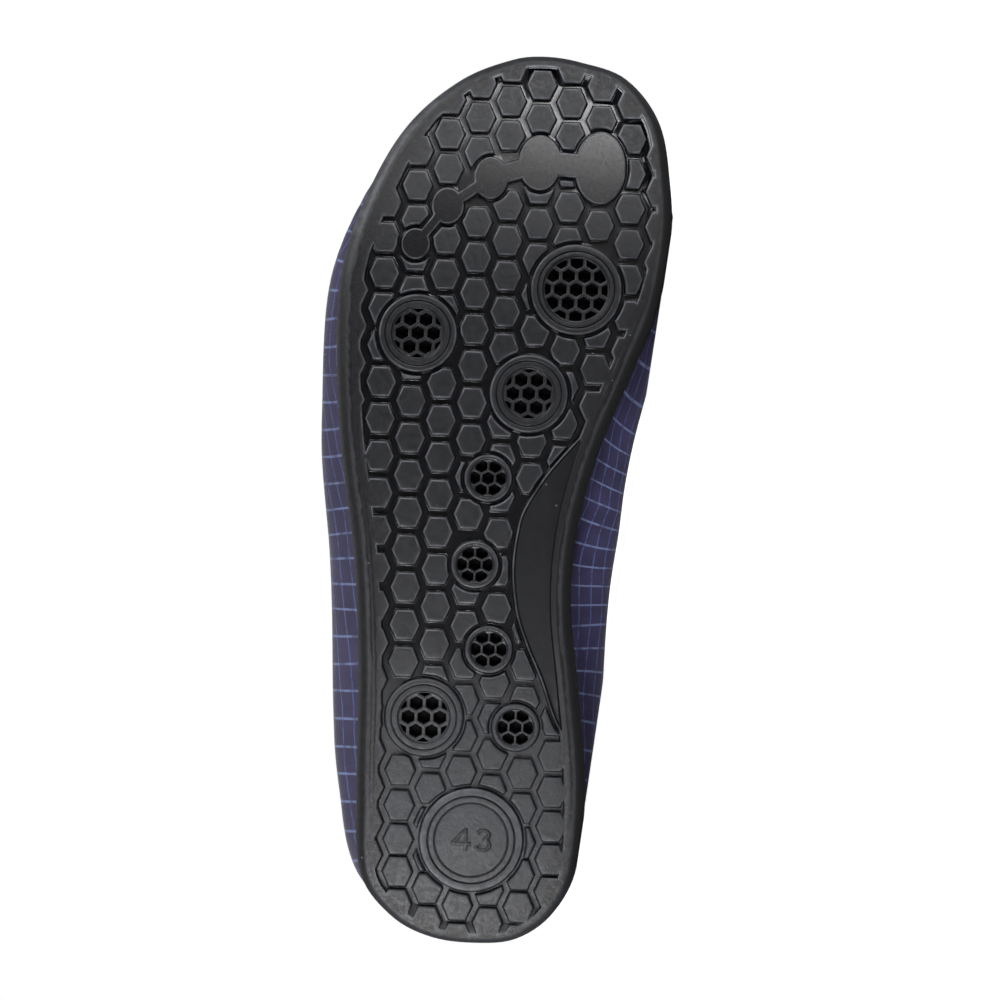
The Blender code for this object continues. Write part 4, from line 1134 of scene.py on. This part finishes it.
def outsole_shell(rubber):
    """The moulded outsole: lugs with rounded edges, vents, size disc, toe pads, cupped side."""
    loop, normals = outline_loop()
    channels, panel = channel_loops(loop, normals), arch_panel_loop(loop, normals)
    holes, digits = vent_holes(), digit_loops()
    rims = [inset_line(loop, normals, edge_inset(loop[:, 0]) + gap * MM) for gap, _ in RIM_PROFILE]
    lines = [offset_loop(line, gap * MM) for line in channels for gap, _ in WALL_PROFILE]
    lines += [offset_loop(panel, gap * MM) for gap, _ in PANEL_PROFILE]
    lines += [offset_loop(digit, gap * MM) for digit in digits for gap, _ in DIGIT_PROFILE]
    lines += [offset_loop(hole, -HOLE_CHAMFER) for hole in holes]
    for centre, _, profile in round_features():
        lines += [ellipse(centre, radius * MM, radius * MM, 64) for radius, _ in profile if radius]
    lines += toe_pad_shapes(-0.5 * MM)
    steps = np.arange(-60, 61) * 6.0 * MM
    grid = np.array([(x, y) for x in steps for y in steps])
    grid = grid[inside(rims[-1], grid)]
    points, faces = triangulate([*rims, *lines, *holes], grid)
    depth, in_channel = tread_depth(points, channels, panel, digits, holes, rims[0])
    # Slick and darkened with painted shade: the channels, hardly at the heel, and the lugs and rim in the middle
    # of the tread. The toe pads and the arch panel are slick and dark too
    sole_gloss_and_shade = np.clip(in_channel * 2 - 1, 0, 1) * np.interp(points[:, 0] / SOLE_LENGTH, (0.24, 0.33), (0.1, 1))
    sole_gloss_and_shade = np.maximum(sole_gloss_and_shade, np.interp(points[:, 0] / SOLE_LENGTH, *columns(TREAD_GLOSS_AND_SHADE)))
    polish = np.where(inside_any(toe_pad_shapes(-0.3 * MM), points), 0.85, sole_gloss_and_shade)
    polish = np.maximum(polish, read_off(PANEL_POLISH, distance_to([panel], points)))
    # Painted highlight along the lug edges, weaker towards the heel, with darker lug centres; then the painted
    # shade of the rim
    wear = read_off(EDGE_PAINTED_LIGHT, distance_to(channels, points))
    wear *= np.interp(points[:, 0] / SOLE_LENGTH, (0.25, 0.35), (0.35, 1))
    wear = np.where(wear > 0, wear, np.minimum(wear, read_off(RIM_SHADE, distance_to([rims[0]], points))))
    # Painted light on the size disc: face and flat ring lighter, grooves left dark
    from_centre = np.linalg.norm(points - place_of(*SIZE_DISC), axis=1)
    wear += np.where(from_centre < SIZE_DISC_RING, read_off(DISC_PAINTED_LIGHT, from_centre), 0)
    wear = np.clip(wear, -1, 1)
    # Painted shade: the size digits and their edges black
    wear = np.where(distance_to(digits, points) > -0.1 * MM, -1, wear)
    mesh = bmesh.new()
    for name in ("polish", "wear"):
        mesh.verts.layers.float.new(name)
    tread = open_faces(points, faces, rims[0], holes)
    add_sheet(mesh, laid(points, depth), tread, flip=True, polish=polish, wear=wear)
    inner_edge = loop - normals * CUP_WALL
    floor_points, floor_faces = triangulate([inner_edge, *holes], grid)
    floor_faces = open_faces(floor_points, floor_faces, inner_edge, holes)
    add_sheet(mesh, laid(floor_points, np.full(len(floor_points), SOLE_FLOOR)), floor_faces, flip=False)
    under = {tuple(np.round(p, 7)): d for p, d in zip(points, depth)}
    for hole in holes:
        low = np.array([under[tuple(np.round(p.astype(np.float32).astype(float), 7))] for p in hole])
        add_band(mesh, [laid(hole, np.full(len(hole), SOLE_FLOOR)), laid(hole, low)])
    add_band(mesh, side_rings(loop, normals), wear=side_wear(loop, normals))
    bmesh.ops.remove_doubles(mesh, verts=mesh.verts, dist=0.003 * MM)
    shell = linked("outsole_rubber", mesh, rubber)
    shell.modifiers.new("normals", "WEIGHTED_NORMAL").weight = 70
    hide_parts("outsole")


def dress_insole(cloth):
    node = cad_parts["insole"]
    node.data.materials.clear()
    node.data.materials.append(cloth)


def place_camera():
    """Square to the sole, as in the photograph, with the toe up and leaning a little to the right."""
    roll, distance, view_width = math.radians(1.68), 1.0, 0.3210
    along, medial, up = (AXES[:, n] for n in range(3))
    top = along * math.cos(roll) - medial * math.sin(roll)
    right = medial * math.cos(roll) + along * math.sin(roll)
    target = np.array([143.25 * MM, 9.9 * MM, 0]) @ AXES.T + SHIFT
    place = target - up * distance
    data = bpy.data.cameras.new("camera")
    data.sensor_width = 36
    data.lens = 36 * distance / view_width
    data.clip_start = 0.05
    camera = bpy.data.objects.new("camera", data)
    camera.matrix_world = Matrix([
        (right[n], top[n], -up[n], place[n]) for n in range(3)
    ] + [(0, 0, 0, 1)])
    bpy.context.scene.collection.objects.link(camera)
    bpy.context.scene.camera = camera


def soft_light(name, place, target, width, height, power, spread=180):
    """A rectangular soft light. Its height is along +Z as nearly as its aim allows."""
    data = bpy.data.lights.new(name, "AREA")
    data.shape, data.size, data.size_y, data.energy = "RECTANGLE", width, height, power
    data.spread = math.radians(spread)
    light = bpy.data.objects.new(name, data)
    light.location = place
    light.rotation_euler = (Vector(target) - Vector(place)).to_track_quat("-Z", "Y").to_euler()
    bpy.context.scene.collection.objects.link(light)


def seen_or_not(tree, seen, unseen):
    """One number for what the camera sees and another for the light that the thing gives off."""
    path = tree.nodes.new("ShaderNodeLightPath").outputs["Is Camera Ray"]
    node = tree.nodes.new("ShaderNodeMapRange")
    tree.links.new(path, node.inputs[0])
    node.inputs[3].default_value, node.inputs[4].default_value = unseen, seen
    return node.outputs[0]


def build_stage():
    """A plain white floor, a white surround that is dark behind the camera, and soft lights."""
    mesh = bmesh.new()
    bmesh.ops.create_grid(mesh, x_segments=1, y_segments=1, size=40.0)
    data = bpy.data.meshes.new("floor")
    mesh.to_mesh(data)
    mesh.free()
    floor = bpy.data.objects.new("floor", data)
    floor.location = (0, 0, -0.0002)
    bpy.context.scene.collection.objects.link(floor)
    paint = Paint("floor_white", 0.9, (0.40, 0.40, 0.40))
    paint.shader["Specular IOR Level"].default_value = 0.0
    paint.shader["Emission Color"].default_value = (1, 1, 1, 1)
    paint.link(seen_or_not(paint.tree, 0.93, 0.0), paint.shader["Emission Strength"])
    data.materials.append(paint.made)
    world = bpy.data.worlds.new("surround")
    world.use_nodes = True
    tree = world.node_tree
    back = tree.nodes["Background"]
    back.inputs[0].default_value = (1, 1, 1, 1)
    way = tree.nodes.new("ShaderNodeSeparateXYZ")
    tree.links.new(tree.nodes.new("ShaderNodeTexCoord").outputs["Generated"], way.inputs[0])
    glow = tree.nodes.new("ShaderNodeMapRange")
    glow.interpolation_type = "SMOOTHSTEP"
    tree.links.new(way.outputs[1], glow.inputs[0])
    for index, value in enumerate((-0.95, -0.45, 0.015, 0.26), start=1):
        glow.inputs[index].default_value = value
    most = tree.nodes.new("ShaderNodeMath")
    most.operation = "MAXIMUM"
    tree.links.new(glow.outputs[0], most.inputs[0])
    tree.links.new(seen_or_not(tree, 1.0, 0.0), most.inputs[1])
    tree.links.new(most.outputs[0], back.inputs[1])
    bpy.context.scene.world = world
    soft_light("top_light", (0.0, 0.5, 1.6), (0, 0, 0), 1.6, 1.6, 6)
    soft_light("heel_light", (-0.31, -0.37, 0.06), (-0.13, -0.03, 0.05), 0.30, 0.18, 0.52, 70)
    soft_light("toe_light", (0.62, -0.62, 0.02), (0.10, -0.03, 0.02), 0.45, 0.05, 3.9)
    soft_light("toe_edge_light", (0.32, -0.30, 0.40), (0.13, -0.02, 0.07), 0.3, 0.3, 2.2)
    bpy.context.scene.view_settings.view_transform = "Standard"
    bpy.context.scene.view_settings.look = "None"


rubber = rubber_material()
fabric = fabric_material()
lining = cloth_material("lining_black", (0.010, 0.010, 0.014), (0.018, 0.018, 0.024), 0.0008)
binding = cloth_material("binding_black", (0.012, 0.012, 0.018), (0.020, 0.020, 0.028), 0.0007)
thread = cloth_material("thread_navy", (0.05, 0.05, 0.11), (0.08, 0.08, 0.16), 0.0004, 0.7)
footbed = cloth_material(
    "insole_cloth", (0.018, 0.019, 0.026), (0.030, 0.031, 0.040), 0.00125, foam=(0.0015, 0.0015, 0.002)
)

outsole_shell(rubber)
grids = upper_shell(fabric, lining)
collar_binding(grids, binding)
stitches(grids, thread)
dress_insole(footbed)
place_camera()
build_stage()
